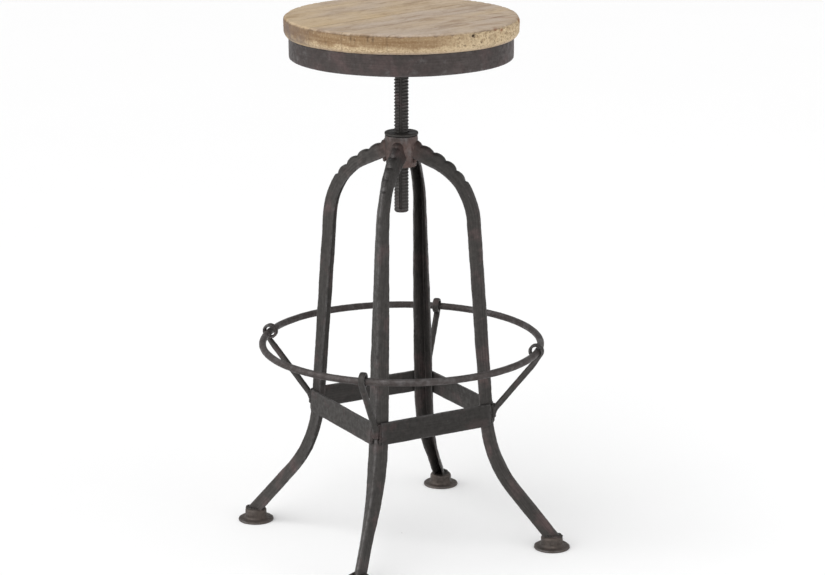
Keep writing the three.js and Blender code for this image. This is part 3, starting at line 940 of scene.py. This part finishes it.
def make_seat_flange():
    """Cast flange and its collar, from a rounded outline with a fillet at the neck."""
    bottom, top = low("seat_flange")[2], high("seat_flange")[2]
    edge = high("seat_flange")[0]
    bore, collar, thick = 11.3, 19.0, 7.0
    under = top - thick
    corners = [[bore, bottom], [collar, bottom], [collar, under], [edge, under], [edge, top], [bore, top]]
    outline, _ = even_outline(corners, [1.0, 1.5, 7.0, 2.5, 0.8, 0.5], 0.7, 1.1)
    grid = turned_grid(outline, 160)
    cast = pushed(grid, -0.25 * (1 + ripples(grid, 9.0, 21)), True)
    surface("seat_flange_casting", cast, "seat", ["seat_flange"], iron("cast_patina"),
            wrap_rows=True)


def lowest_point(node):
    """Middle of a CAD node's underside, in millimetres."""
    return np.append(((low(node) + high(node)) / 2)[:2], low(node)[2])


def make_flange_bolts():
    """Hexagonal bolt heads: a turned outline whose radius follows a hexagon on its flats."""
    corners = [[0.4, 0], [4.6, 0], [5.7, 0.5], [6.3, 1.2], [6.5, 2.0], [6.5, 4.3], [6.2, 4.5], [3.0, 4.5],
               [3.0, 20.0], [0.4, 20.0]]
    outline, _ = resample(np.array(corners), 0.5)
    in_head = (outline[:, 0] > 3.2)[:, None]
    half_flats, sixth, columns = 5.65, math.pi / 3, 72
    for i, node in enumerate(f"flange_bolt_{n}" for n in range(1, 5)):
        grid = turned_grid(outline, columns)
        angle = full_turn(columns) + 0.2 * i
        hexagon = half_flats / np.cos((angle + sixth / 2) % sixth - sixth / 2)
        reach = np.hypot(grid[..., 0], grid[..., 1])
        grid[..., :2] *= np.where(in_head, np.minimum(1.0, hexagon / reach), 1.0)[..., None]
        surface(f"flange_bolt_iron_{i + 1}", grid + lowest_point(node), "seat", [node],
                iron("screw_patina"))


def make_rim_screws():
    """Pan-head screws with a cut slot, a turned dome with a straight channel across it."""
    corners = [[0.3, 0], [5.5, 0], [5.5, 3.0], [3.0, 3.0], [3.0, 16.0], [0.3, 16.0]]
    outline, _ = even_outline(corners, [2.4, 0.3, 0.2, 0.4], 0.3, 0.4, closed=False)
    for i, node in enumerate(f"rim_screw_{n}" for n in range(1, 5)):
        grid = turned_grid(outline, 72)
        slot_turn = 0.7 * i
        across = grid[..., 0] * math.sin(slot_turn) + grid[..., 1] * math.cos(slot_turn)
        grid[..., 2] += 1.3 * smoothstep(-np.abs(across), -0.75, -0.5) * (grid[..., 2] < 1.2)
        surface(f"rim_screw_iron_{i + 1}", grid + lowest_point(node), "seat", [node],
                iron("screw_patina"))


def in_key(angle, radius, half_width):
    """Whether each angle is within the straight width of the keyway, at a radius."""
    past_key = angle - KEY_FACING
    return (np.abs(np.sin(past_key)) * radius < half_width) & (np.cos(past_key) > 0)


def make_spindle():
    """Threaded spindle: radius = outer - depth * profile(z / pitch - angle / turn), less the keyway.

    The profile is a trapezoid wave with soft corners. The thread is shallower at the lower end.
    """
    size = Sizes("stool_screw")
    bottom, top = low("spindle")[2], high("spindle")[2]
    angle = full_turn(96)
    height = np.arange(bottom, top, size.pitch / 12)[:, None]
    phase = (height / size.pitch - angle[None] / (2 * np.pi)) % 1
    profile = smoothstep(np.abs(phase - 0.5) * 2, 0.28, 0.72)
    fade = 0.45 + 0.55 * smoothstep(height, bottom + 15, bottom + 75)
    chamfer = np.clip(1.8 - (height - bottom), 0, 1.8)
    radius = np.minimum(size.radius - size.thread_depth * profile * fade, size.radius - chamfer)
    keyway = in_key(angle, size.radius, KEYWAY_HALF) & (height > bottom + 6) & (height < top - 44)
    radius = np.where(keyway, size.radius - KEYWAY_DEPTH, radius)
    surface("spindle_thread", round_grid(radius, height, angle), "seat", ["spindle"], iron("screw_patina"),
            wear=np.where(keyway, 0.0, 1 - profile) * 0.7)


def make_seat_plate():
    """The round plate under the wood keeps its CAD shape and takes the band's iron."""
    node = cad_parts["seat_plate"]
    node.data.materials.clear()
    node.data.materials.append(iron("band_patina"))


# ---------------------------------------------------------------- pieces of the base


def make_hub():
    """Cast hub: a rounded outline with a bore, drawn in below, with lumps, and pale patches that are partly
    rubbed iron and partly a painted highlight.
    """
    size = Sizes("stool_screw")
    bottom, top = low("hub")[2], high("hub")[2]
    radius = size.hub_radius
    corners = [[HUB_BORE, bottom], [radius - 2.6, bottom], [radius - 1.0, bottom + 9],
               [radius, bottom + 14], [radius, top], [HUB_BORE, top]]
    outline, _ = even_outline(corners, [1.0, 2.2, 6.0, 6.0, 1.2, 0.8], 0.5, 0.9)
    grid = turned_grid(outline, 180)
    outside = smoothstep(outline[:, 0], HUB_BORE + 1, HUB_BORE + 3)[:, None]
    lumps = outside * (0.55 * (1 + ripples(grid, 12.0, 31)) + 0.16 * (1 + ripples(grid, 4.0, 32)))
    cast = pushed(grid, -lumps, True)
    edges = np.exp(-(top - outline[:, 1]) / 1.5) * (outline[:, 0] > radius - 3)
    # Pale upright patches: rubbed iron, and partly a painted highlight, the upright streak of light on the
    # round hub.
    rubbed = outside * np.clip(1.5 * ripples(cast * [1, 1, 0.5], 13.0, 34) - 0.25, 0, 1)
    surface("hub_casting", cast, "base", ["hub"], iron("cast_patina"), wrap_rows=True,
            wear=edges[:, None] + rubbed)


def make_key_washer():
    """Dust washer: a thin rounded ring whose bore steps in to a tongue that fits the keyway."""
    size = Sizes("stool_screw")
    bottom, top = low("key_washer")[2], high("key_washer")[2]
    outer, tongue_radius, columns = high("key_washer")[1], 9.4, 180
    corners = [[HUB_BORE, bottom], [outer, bottom], [outer, top], [HUB_BORE, top]]
    outline, _ = even_outline(corners, [0.3, 0.5, 1.4, 0.5], 0.3, 0.6)
    grid = turned_grid(outline, columns)
    at_bore = (outline[:, 0] < HUB_BORE + 0.8)[:, None]
    tongue = in_key(full_turn(columns), size.radius, TONGUE_HALF) & at_bore
    grid[..., :2] *= np.where(tongue, tongue_radius / HUB_BORE, 1.0)[..., None]
    surface("key_washer_iron", grid, "turning_washer", ["key_washer"], iron("screw_patina"),
            wrap_rows=True)


# Corners of a leg's ridge line, (radius, height), and the radii of its two bends
RIDGE_CORNERS = [[22.5, 634.7], [120.5, 584], [151.5, 142], [257.7, 17.2]]
RIDGE_BENDS = [127.0, 180.0]
SHOULDER, KNEE = RIDGE_CORNERS[1], RIDGE_CORNERS[2]
SHAFT_SLOPE = (KNEE[0] - SHOULDER[0]) / (SHOULDER[1] - KNEE[1])
OPENING = np.radians([18.0, 42.0, 21.0])  # half of the angle between the flanges: hub, shaft, foot
OPENING_AT = (480.0, 500.0, 650.0)  # along the ridge: shaft's opening reached, kept to here, foot's reached
CRIMP_START, CRIMP_PITCH = 12.0, 22.5
BAR_SHADES = (0.05, 0.10, 0.0, 0.32)  # how much darker each stretcher is drawn
EYE = {"hole": 7.2, "wall": 4.6, "offset": 1.5}  # a strut's eye, inward and up from the ring's rod
STRUT_FOOT, STRUT_KNEE = 202.0, 218.0  # heights at which a strut leaves the leg and bends outward


def shaft_radius(height):
    """Radius of the ridge line at a height on its straight shaft."""
    return KNEE[0] - SHAFT_SLOPE * (height - KNEE[1])


def strip_outline(half, thick, corner):
    """Closed outline of a flat strip, (across, depth): out along its face and back along its inside.

    Both halves have the same number of points, closer together near the fold.
    """
    fold = np.linspace(-1, 1, 33)
    across = half * np.sign(fold) * np.abs(fold) ** 1.35
    inner = across[np.abs(across) < half - corner]
    face = np.stack([inner, np.zeros(len(inner))], axis=-1)
    quarter = np.linspace(0, QUARTER, 4)
    left = np.stack([-half + corner * (1 - np.sin(quarter)), corner * (1 - np.cos(quarter))], axis=-1)
    front = np.concatenate([left[::-1], face, left * [-1, 1]])
    return np.concatenate([front, front[::-1] * [1, -1] + [0, thick]])


def folded(outline, opening, bend, widen):
    """Folds a flat strip round a ridge: (toward the ridge's outside, sideways) for each opening angle.

    Within the bend a point turns by x / bend; beyond it the flange runs straight at the opening's angle.
    Depth is taken along the inward normal. The strip is first made wider by its own factor at each station.
    """
    across, depth = outline[None, :, 0] * widen[:, None], outline[None, :, 1]
    opening, bend = opening[:, None], bend[:, None]
    side, reach = np.sign(across), np.abs(across)
    turn = np.minimum(reach / bend, QUARTER - opening)
    straight = np.maximum(reach - bend * (QUARTER - opening), 0)
    sideways = bend * np.sin(turn) + straight * np.sin(opening) - depth * np.sin(turn)
    outside = -bend * (1 - np.cos(turn)) - straight * np.cos(opening) - depth * np.cos(turn)
    return np.stack([outside, side * sideways], axis=-1)


def leg_grid(size):
    """One leg in the XZ plane: the folded strip carried along the ridge line, crimped over the shoulder."""
    path, at = even_outline(RIDGE_CORNERS, RIDGE_BENDS, 2.0, 1.9, closed=False)
    opening = OPENING[0] + (OPENING[1] - OPENING[0]) * smoothstep(at, 0, OPENING_AT[0])
    opening += (OPENING[2] - OPENING[1]) * smoothstep(at, *OPENING_AT[1:])
    inset = 0.8  # the surface stays this far inside the CAD ridge and flange ends
    half = size.flange - inset
    outline = strip_outline(half, size.thick, 1.1)
    widen = 1 + (size.hub_flange / size.flange - 1) * smoothstep(-at, -110, 0)
    bend = size.ridge_round + (size.hub_round - size.ridge_round) * smoothstep(-at, -120, -20)
    section = folded(outline, opening, bend, widen)
    section[..., 0] -= inset
    turns = (at - CRIMP_START) / CRIMP_PITCH
    fade = smoothstep(turns, -0.15, 0.1) * smoothstep(-turns, -size.crimps - 0.15, -size.crimps + 0.1)
    scallop = (1 - np.abs(np.sin(np.pi * turns)) ** 0.7) * fade
    near_ridge = np.exp(-(outline[:, 0] / 9.5) ** 2)
    pinch = np.exp(-((np.abs(outline[:, 0]) - 10) / 6.0) ** 2)
    section[..., 0] -= size.crimp_depth * scallop[:, None] * near_ridge
    section[..., 1] *= 1 + 0.10 * ((scallop - 0.4) * fade)[:, None] * pinch
    grid = upright_sweep(path, section)
    outer = outline[:, 1] < size.thick / 2
    from_fold = np.abs(outline[:, 0])
    edge = np.exp(-(from_fold / 2.6) ** 2) * outer + np.exp(-(half - from_fold) / 1.2)
    wear = edge[None] * (1 + 0.6 * (1 - scallop) * fade)[:, None]
    # Painted shade: the crimps' valleys are drawn darker near the ridge, where shade falls between the
    # bumps.
    shade = 0.45 * scallop[:, None] * np.exp(-(outline[:, 0] / 5.0) ** 2)[None]
    return grid, wear, shade, spread(at, outline[:, 0] + np.where(outer, 0, 60))


def make_legs():
    """Four angle-iron legs, alike but each with its own hammered unevenness."""
    grid, wear, shade, (at, around) = leg_grid(Sizes("stool_leg"))
    for i, angle in enumerate(LEG_ANGLES):
        uneven = 0.30 * ripples(grid, 34.0, 41 + i) + 0.12 * ripples(grid, 8.0, 51 + i)
        placed = facing(pushed(grid, uneven), angle)
        leg = surface(f"leg_iron_{i + 1}", placed, "base", [f"leg_{i + 1}"], iron("leg_patina"),
                      ends="strip", wear=wear, flow=(at + 900 * i, around))
        heat = np.exp(-(at / 17) ** 2) * (0.9 + 0.35 * ripples(grid, 9.0, 57 + i))
        add_mask(leg.data, "weld_heat", np.clip(heat, 0, 1), 0)
        add_mask(leg.data, "shade", shade, 0)


def bar_middle():
    """Height of the stretchers' middle line."""
    return (low("stretcher_1")[2] + high("stretcher_1")[2]) / 2


def make_stretchers():
    """Flat bars on edge: a rounded rectangle carried along Y, drawn in at its sheared ends, then leaned.

    Near an end the section shrinks as the quarter circle r - sqrt(r^2 - x^2), with r the end's radius.
    """
    size = Sizes("stool_leg")
    face = shaft_radius(bar_middle()) / math.sqrt(2) + 0.6 + size.bar_thick / 2
    thick, tall, half = size.bar_thick / 2, size.bar_height / 2, size.bar_half
    end_round = 0.9
    corners = [[-thick, -tall], [thick, -tall], [thick, tall], [-thick, tall]]
    outline, at = even_outline(corners, [end_round] * 4, 0.3, 1.3)
    steps = np.array([0, 0.15, 0.45, end_round])
    length_at = np.concatenate([-half + steps, np.linspace(-half + 2, half - 2, 120), half - steps[::-1]])
    from_end = half - np.abs(length_at)
    into_round = end_round - np.minimum(from_end, end_round)
    inset = end_round - np.sqrt(np.maximum(end_round ** 2 - into_round ** 2, 0))
    toward = -outline / np.linalg.norm(outline, axis=1)[:, None] * [1, 0.35]
    flat = outline[None] + inset[:, None, None] * toward[None]
    along, around = spread(length_at, at)
    grid = np.stack([flat[..., 0], along, flat[..., 1]], axis=-1)
    edge = np.exp(-(tall - np.abs(outline[:, 1])) / 1.1)[None] + np.exp(-from_end / 2)[:, None]
    lean = math.atan(SHAFT_SLOPE / math.sqrt(2))
    c, s = math.cos(lean), math.sin(lean)
    leaned = grid @ np.array([[c, 0, s], [0, 1, 0], [-s, 0, c]])
    for i, angle in enumerate(SIDE_ANGLES):
        uneven = 0.25 * ripples(grid, 40.0, 61 + i) + 0.08 * ripples(grid, 9.0, 71 + i)
        placed = facing(pushed(leaned, uneven) + [face, 0, bar_middle()], angle)
        bar = surface(f"stretcher_bar_{i + 1}", placed, "base", [f"stretcher_{i + 1}"], iron("bar_patina"),
                      wear=edge, flow=(along + 400 * i, around))
        add_mask(bar.data, "shade", np.full(along.shape, BAR_SHADES[i]), 2)


def ring_height():
    """Height of the footrest ring's centreline."""
    return (low("footrest_ring")[2] + high("footrest_ring")[2]) / 2


def make_footrest_ring():
    """Footrest ring: a torus, ((R + r cos b) cos a, (R + r cos b) sin a, z + r sin b), a little uneven."""
    size = Sizes("stool_footrest")
    around, along = full_turn(32), full_turn(640)
    height = ring_height() + size.rod * np.sin(around)
    grid = round_grid(size.ring_radius + size.rod * np.cos(around), height, along[:, None])
    uneven = 0.12 * ripples(grid, 30.0, 81) + 0.06 * ripples(grid, 7.0, 82) - 0.1
    rubbed = np.exp(-((around - 1.2) / 0.9) ** 2) * (0.4 + 0.3 * np.cos(3 * along[:, None]))
    surface("footrest_ring_bar", pushed(grid, uneven, True), "base", ["footrest_ring"], iron("ring_patina"),
            wrap_rows=True, wear=rubbed,
            flow=spread(along * size.ring_radius, around * size.rod))


def strut_path(size):
    """A strut's middle line in the XZ plane, off the leg's ridge, out to the ring and round it.

    Returns the line, the distance along it and the distance at which its eye begins.
    """
    wrap_radius = EYE["hole"] + EYE["wall"] / 2
    centre = np.array([size.ring_radius - EYE["offset"], ring_height() + EYE["offset"]])
    lower = np.array([shaft_radius(STRUT_FOOT) - 4.0, STRUT_FOOT])
    knee = np.array([shaft_radius(STRUT_KNEE) + 2.6, STRUT_KNEE])
    reach = np.linalg.norm(centre - knee)
    heading = math.atan2(*(centre - knee)[::-1]) - math.asin(wrap_radius / reach)
    start = heading - QUARTER
    touch = centre + wrap_radius * np.array([math.cos(start), math.sin(start)])
    straight = rounded_outline([lower, knee, touch], [20.0], 1.0)
    wrap = start + np.linspace(0.04, math.radians(322), 90)
    loop = centre + wrap_radius * np.stack([np.cos(wrap), np.sin(wrap)], axis=-1)
    path, at = resample(np.concatenate([straight, loop]), 0.9)
    return path, at, float(np.linalg.norm(np.diff(straight, axis=0), axis=1).sum())


def make_struts():
    """Struts: a round bar that flattens before it wraps the ring as an open eye.

    The section is |x / a|^n + |y / b|^n = 1, with a, b and n running from a round bar to a flattened one.
    """
    size = Sizes("stool_footrest")
    path, at, loop_from = strut_path(size)
    flat = smoothstep(at, loop_from - 26, loop_from + 3)[:, None]
    angle = full_turn(28)
    depth = size.strut_rod + (EYE["wall"] / 2 - size.strut_rod) * flat
    end_round = np.minimum(np.minimum(at, at[-1] - at) / 1.6, 1)
    close = np.sqrt(np.clip(1 - (1 - end_round) ** 2, 0.03, 1))[:, None]
    across, sideways = superellipse(angle, 2 / (2 + 1.6 * flat))
    section = np.stack([across * depth * close, sideways * size.strut_rod * close], axis=-1)
    grid = upright_sweep(path, section)
    wear = (0.3 + 0.7 * flat) * np.abs(np.sin(angle)) ** 6
    along, around = spread(at, angle * size.strut_rod)
    for i, turn in enumerate(LEG_ANGLES):
        bar = pushed(grid, 0.14 * ripples(grid, 14.0, 91 + i))
        surface(f"strut_bar_{i + 1}", facing(bar, turn), "base", [f"strut_{i + 1}"], iron("bar_patina"),
                wear=wear, flow=(along + 200 * i, around))


def make_feet():
    """Cast pad feet: a turned rim, neck fillet and rounded boss with a cast surface."""
    size = Sizes("stool_footrest")
    radius = size.foot_radius
    boss, height = 17.2, 20.0
    corners = [[0.5, 0], [radius, 0], [radius, 3.7], [boss + 0.2, 4.6], [boss, height], [0.5, height]]
    outline, _ = even_outline(corners, [0.9, 1.5, 4.0, 4.2], 0.5, 0.9, closed=False)
    grid = turned_grid(outline, 150)
    above = smoothstep(outline[:, 1], 0.4, 1.6)[:, None]
    edge = np.exp(-((outline[:, 0] - radius) / 1.5) ** 2) * (outline[:, 1] > 1.5)
    wear, _ = spread(edge, np.zeros(150))
    for i, turn in enumerate(LEG_ANGLES):
        lumps = 0.30 * (1 + ripples(grid, 12.0, 101 + i)) + 0.12 * (1 + ripples(grid, 4.0, 111 + i))
        placed = facing(pushed(grid, -above * lumps) + [size.foot_circle, 0, 0], turn)
        surface(f"foot_casting_{i + 1}", placed, "base", [f"foot_{i + 1}"], iron("foot_patina"),
                wear=wear)


def bead(name, path, radius, seed, turn, metal="leg_patina"):
    """A weld bead along a path, with the ripple of its runs: radius * (1 + waves)."""
    path, at = resample(path, 0.7)
    grid, centre = tube(path, radius), path[:, None]
    swell = 1 + 0.13 * np.sin(at * 2.6)[:, None] + 0.16 * ripples(grid, 5.0, seed)
    grid = centre + (grid - centre) * swell[..., None]
    surface(name, facing(grid, turn), "base", [], iron(metal),
            flow=spread(at, np.zeros(grid.shape[1])))


def bead_pair(name, path, radius, seed, turn):
    """Two beads, along a path and its mirror image on the piece's other side."""
    for k, hand in enumerate((-1, 1)):
        bead(f"{name}_{k + 1}", path * [1, hand, 1], radius, seed + k, turn)


def make_welds():
    """Weld beads: leg to hub, leg to foot, strut to leg and stretcher to leg."""
    size = Sizes("stool_leg")
    hub_radius = Sizes("stool_screw").hub_radius
    side_reach, ridge_top = 10.8, 632.5
    side = np.linspace(-side_reach, side_reach, 60)
    hub_height = ridge_top - np.sqrt((side / math.tan(OPENING[0])) ** 2 + 9)
    hub = np.stack([np.sqrt(hub_radius ** 2 - side ** 2) + 0.4, side, hub_height], axis=-1)
    round_leg = np.linspace(0.5, 2 * math.pi - 0.5, 90) + math.pi
    leg_end, boss_top = 242.6, 18.9
    foot = np.stack([leg_end + 12.8 * np.cos(round_leg), 9.2 * np.sin(round_leg), np.full(90, boss_top)],
                    axis=-1)
    height = np.linspace(STRUT_FOOT + 1, STRUT_KNEE + 8, 40)
    strut = np.stack([shaft_radius(height) + 0.6, np.linspace(2.4, 3.6, 40), height], axis=-1)
    up = np.linspace(-1, 1, 40) * (size.bar_height / 2 - 1.5)
    face = shaft_radius(bar_middle()) / math.sqrt(2) + 1.9
    bar = np.stack([face - SHAFT_SLOPE / math.sqrt(2) * up, np.full(40, size.bar_half + 1.3),
                    bar_middle() + up], axis=-1)
    for i, turn in enumerate(LEG_ANGLES):
        bead(f"weld_hub_{i + 1}", hub, 3.1, 121 + i, turn, "cast_patina")
        bead(f"weld_foot_{i + 1}", foot, 2.8, 131 + i, turn)
        bead_pair(f"weld_strut_{i + 1}", strut, 2.4, 141 + 2 * i, turn)
    for i, turn in enumerate(SIDE_ANGLES):
        bead_pair(f"weld_bar_{i + 1}", bar, 3.0, 151 + 2 * i, turn)


# ---------------------------------------------------------------- stage


def make_floor(settings):
    """Wide pale floor: a flat disc."""
    rings, columns = 24, 96
    grid = turned_grid([[r, -0.02] for r in np.linspace(1, 14000, rings)], columns)
    faces = quad_faces(rings, columns, False).reshape(-1, 4)
    mesh = mesh_from("floor", grid.reshape(-1, 3) * MM, faces[:, ::-1])
    floor = bpy.data.objects.new("floor", mesh)
    bpy.context.collection.objects.link(floor)
    material, _, shader, where = new_material("studio_floor")
    shaded = [0.985 * part for part in settings.floor_colour]
    connect(shader.inputs["Base Color"], blend(noise(where, 1.4, 2.0), settings.floor_colour, shaded))
    connect(shader.inputs["Roughness"], 0.9)
    connect(shader.inputs["Specular IOR Level"], 0.1)
    mesh.materials.append(material)


def aimed(name, lamp, place_at, target):
    """Sets a lamp at a place, aimed at a point."""
    light = bpy.data.objects.new(name, lamp)
    x, y, z = np.subtract(place_at, target)
    light.location = place_at
    light.rotation_euler = (math.atan2(math.hypot(x, y), z), 0, math.atan2(x, -y))
    bpy.context.collection.objects.link(light)


def make_lights(settings):
    """A wide soft main light from the left and a weak fill from the right."""
    middle, distance = (0, 0, 0.5), 2.6
    key = bpy.data.lights.new("key_light", "SUN")
    key.energy = settings.key
    key.angle = math.radians(85)
    fill = bpy.data.lights.new("fill_light", "AREA")
    fill.shape = "SQUARE"
    fill.size = 2.4
    fill.energy = settings.fill
    for name, lamp, angle, height in (("key_light", key, -58, 2.6), ("fill_light", fill, 58, 1.3)):
        a = settings.azimuth + math.radians(angle)
        aimed(name, lamp, (distance * math.sin(a), -distance * math.cos(a), height), middle)


def make_camera(settings):
    """Camera on a level circle round the stool, looking down at it, its view turned by the azimuth."""
    camera = bpy.data.objects.new("camera", bpy.data.cameras.new("camera"))
    bpy.context.collection.objects.link(camera)
    camera.data.sensor_width = 36.0
    camera.data.lens = settings.lens
    camera.data.clip_end = 100.0
    turn = settings.azimuth
    c, s = math.cos(turn), math.sin(turn)
    aside, back = settings.aside, settings.distance
    camera.location = (aside * c + back * s, aside * s - back * c, settings.eye_height)
    camera.rotation_euler = (QUARTER - settings.pitch, 0, turn + settings.aim)
    bpy.context.scene.camera = camera


def make_sky(settings):
    """Even white surroundings."""
    world = bpy.data.worlds.new("studio")
    world.use_nodes = True
    background = world.node_tree.nodes["Background"]
    background.inputs["Color"].default_value = (1.0, 1.0, 1.0, 1.0)
    background.inputs["Strength"].default_value = settings.sky
    bpy.context.scene.world = world


# ---------------------------------------------------------------- operators


class MakePieces:
    """What the building steps share: each calls its makers in turn."""

    def execute(self, context):
        for make in self.makers:
            make()
        return {"FINISHED"}


class STOOL_OT_seat(MakePieces, bpy.types.Operator):
    """Build the wooden seat and the iron band under it"""

    bl_idname = "stool.seat"
    bl_label = "Seat"
    makers = (make_wood_seat, make_seat_band, make_seat_plate)


class STOOL_OT_seat_fixings(MakePieces, bpy.types.Operator):
    """Build the flange, bolts and screws under the seat"""

    bl_idname = "stool.seat_fixings"
    bl_label = "Seat fixings"
    makers = (make_seat_flange, make_flange_bolts, make_rim_screws)


class STOOL_OT_screw(MakePieces, bpy.types.Operator):
    """Build the threaded spindle, the hub and the dust washer"""

    bl_idname = "stool.screw"
    bl_label = "Screw and hub"
    makers = (make_spindle, make_key_washer, make_hub)


class STOOL_OT_legs(MakePieces, bpy.types.Operator):
    """Build the crimped angle-iron legs"""

    bl_idname = "stool.legs"
    bl_label = "Legs"
    makers = (make_legs,)


class STOOL_OT_stretchers(MakePieces, bpy.types.Operator):
    """Build the square of flat bars between the legs"""

    bl_idname = "stool.stretchers"
    bl_label = "Stretchers"
    makers = (make_stretchers,)


class STOOL_OT_footrest(MakePieces, bpy.types.Operator):
    """Build the footrest ring and its struts"""

    bl_idname = "stool.footrest"
    bl_label = "Footrest"
    makers = (make_footrest_ring, make_struts)


class STOOL_OT_feet(MakePieces, bpy.types.Operator):
    """Build the cast pad feet"""

    bl_idname = "stool.feet"
    bl_label = "Feet"
    makers = (make_feet,)


class STOOL_OT_welds(MakePieces, bpy.types.Operator):
    """Build the weld beads that hold the base together"""

    bl_idname = "stool.welds"
    bl_label = "Welds"
    makers = (make_welds,)


class STOOL_OT_stage(bpy.types.Operator):
    """Set out the floor, lights and camera"""

    bl_idname = "stool.stage"
    bl_label = "Stage"

    def execute(self, context):
        settings = context.scene.stool_stage
        context.scene.view_settings.view_transform = "Standard"
        make_camera(settings)
        make_floor(settings)
        make_sky(settings)
        make_lights(settings)
        return {"FINISHED"}


STEPS = (STOOL_OT_stage, STOOL_OT_seat, STOOL_OT_seat_fixings, STOOL_OT_screw, STOOL_OT_legs,
         STOOL_OT_stretchers, STOOL_OT_footrest, STOOL_OT_feet, STOOL_OT_welds)


class STOOL_PT_builder(bpy.types.Panel):
    """Lists the stool's settings and building steps"""

    bl_label = "Bar stool"
    bl_idname = "STOOL_PT_builder"
    bl_space_type = "VIEW_3D"
    bl_region_type = "UI"
    bl_category = "Stool"

    def draw(self, context):
        for name in SETTINGS:
            box = self.layout.box()
            group = getattr(context.scene, name)
            for key in group.bl_rna.properties.keys():
                if key not in {"name", "rna_type"}:
                    box.prop(group, key)
        for step in STEPS:
            self.layout.operator(step.bl_idname)


def register():
    """Registers the settings, operators and panel."""
    for name, group in SETTINGS.items():
        bpy.utils.register_class(group)
        setattr(bpy.types.Scene, name, PointerProperty(type=group))
    for item in (*STEPS, STOOL_PT_builder):
        bpy.utils.register_class(item)


def unregister():
    """Takes them away again."""
    for item in (STOOL_PT_builder, *reversed(STEPS)):
        bpy.utils.unregister_class(item)
    for name, group in SETTINGS.items():
        delattr(bpy.types.Scene, name)
        bpy.utils.unregister_class(group)


def main():
    """Builds the stool step by step."""
    register()
    bpy.ops.stool.stage()
    bpy.ops.stool.seat()
    bpy.ops.stool.seat_fixings()
    bpy.ops.stool.screw()
    bpy.ops.stool.legs()
    bpy.ops.stool.stretchers()
    bpy.ops.stool.footrest()
    bpy.ops.stool.feet()
    bpy.ops.stool.welds()


if __name__ == "__main__":
    main()
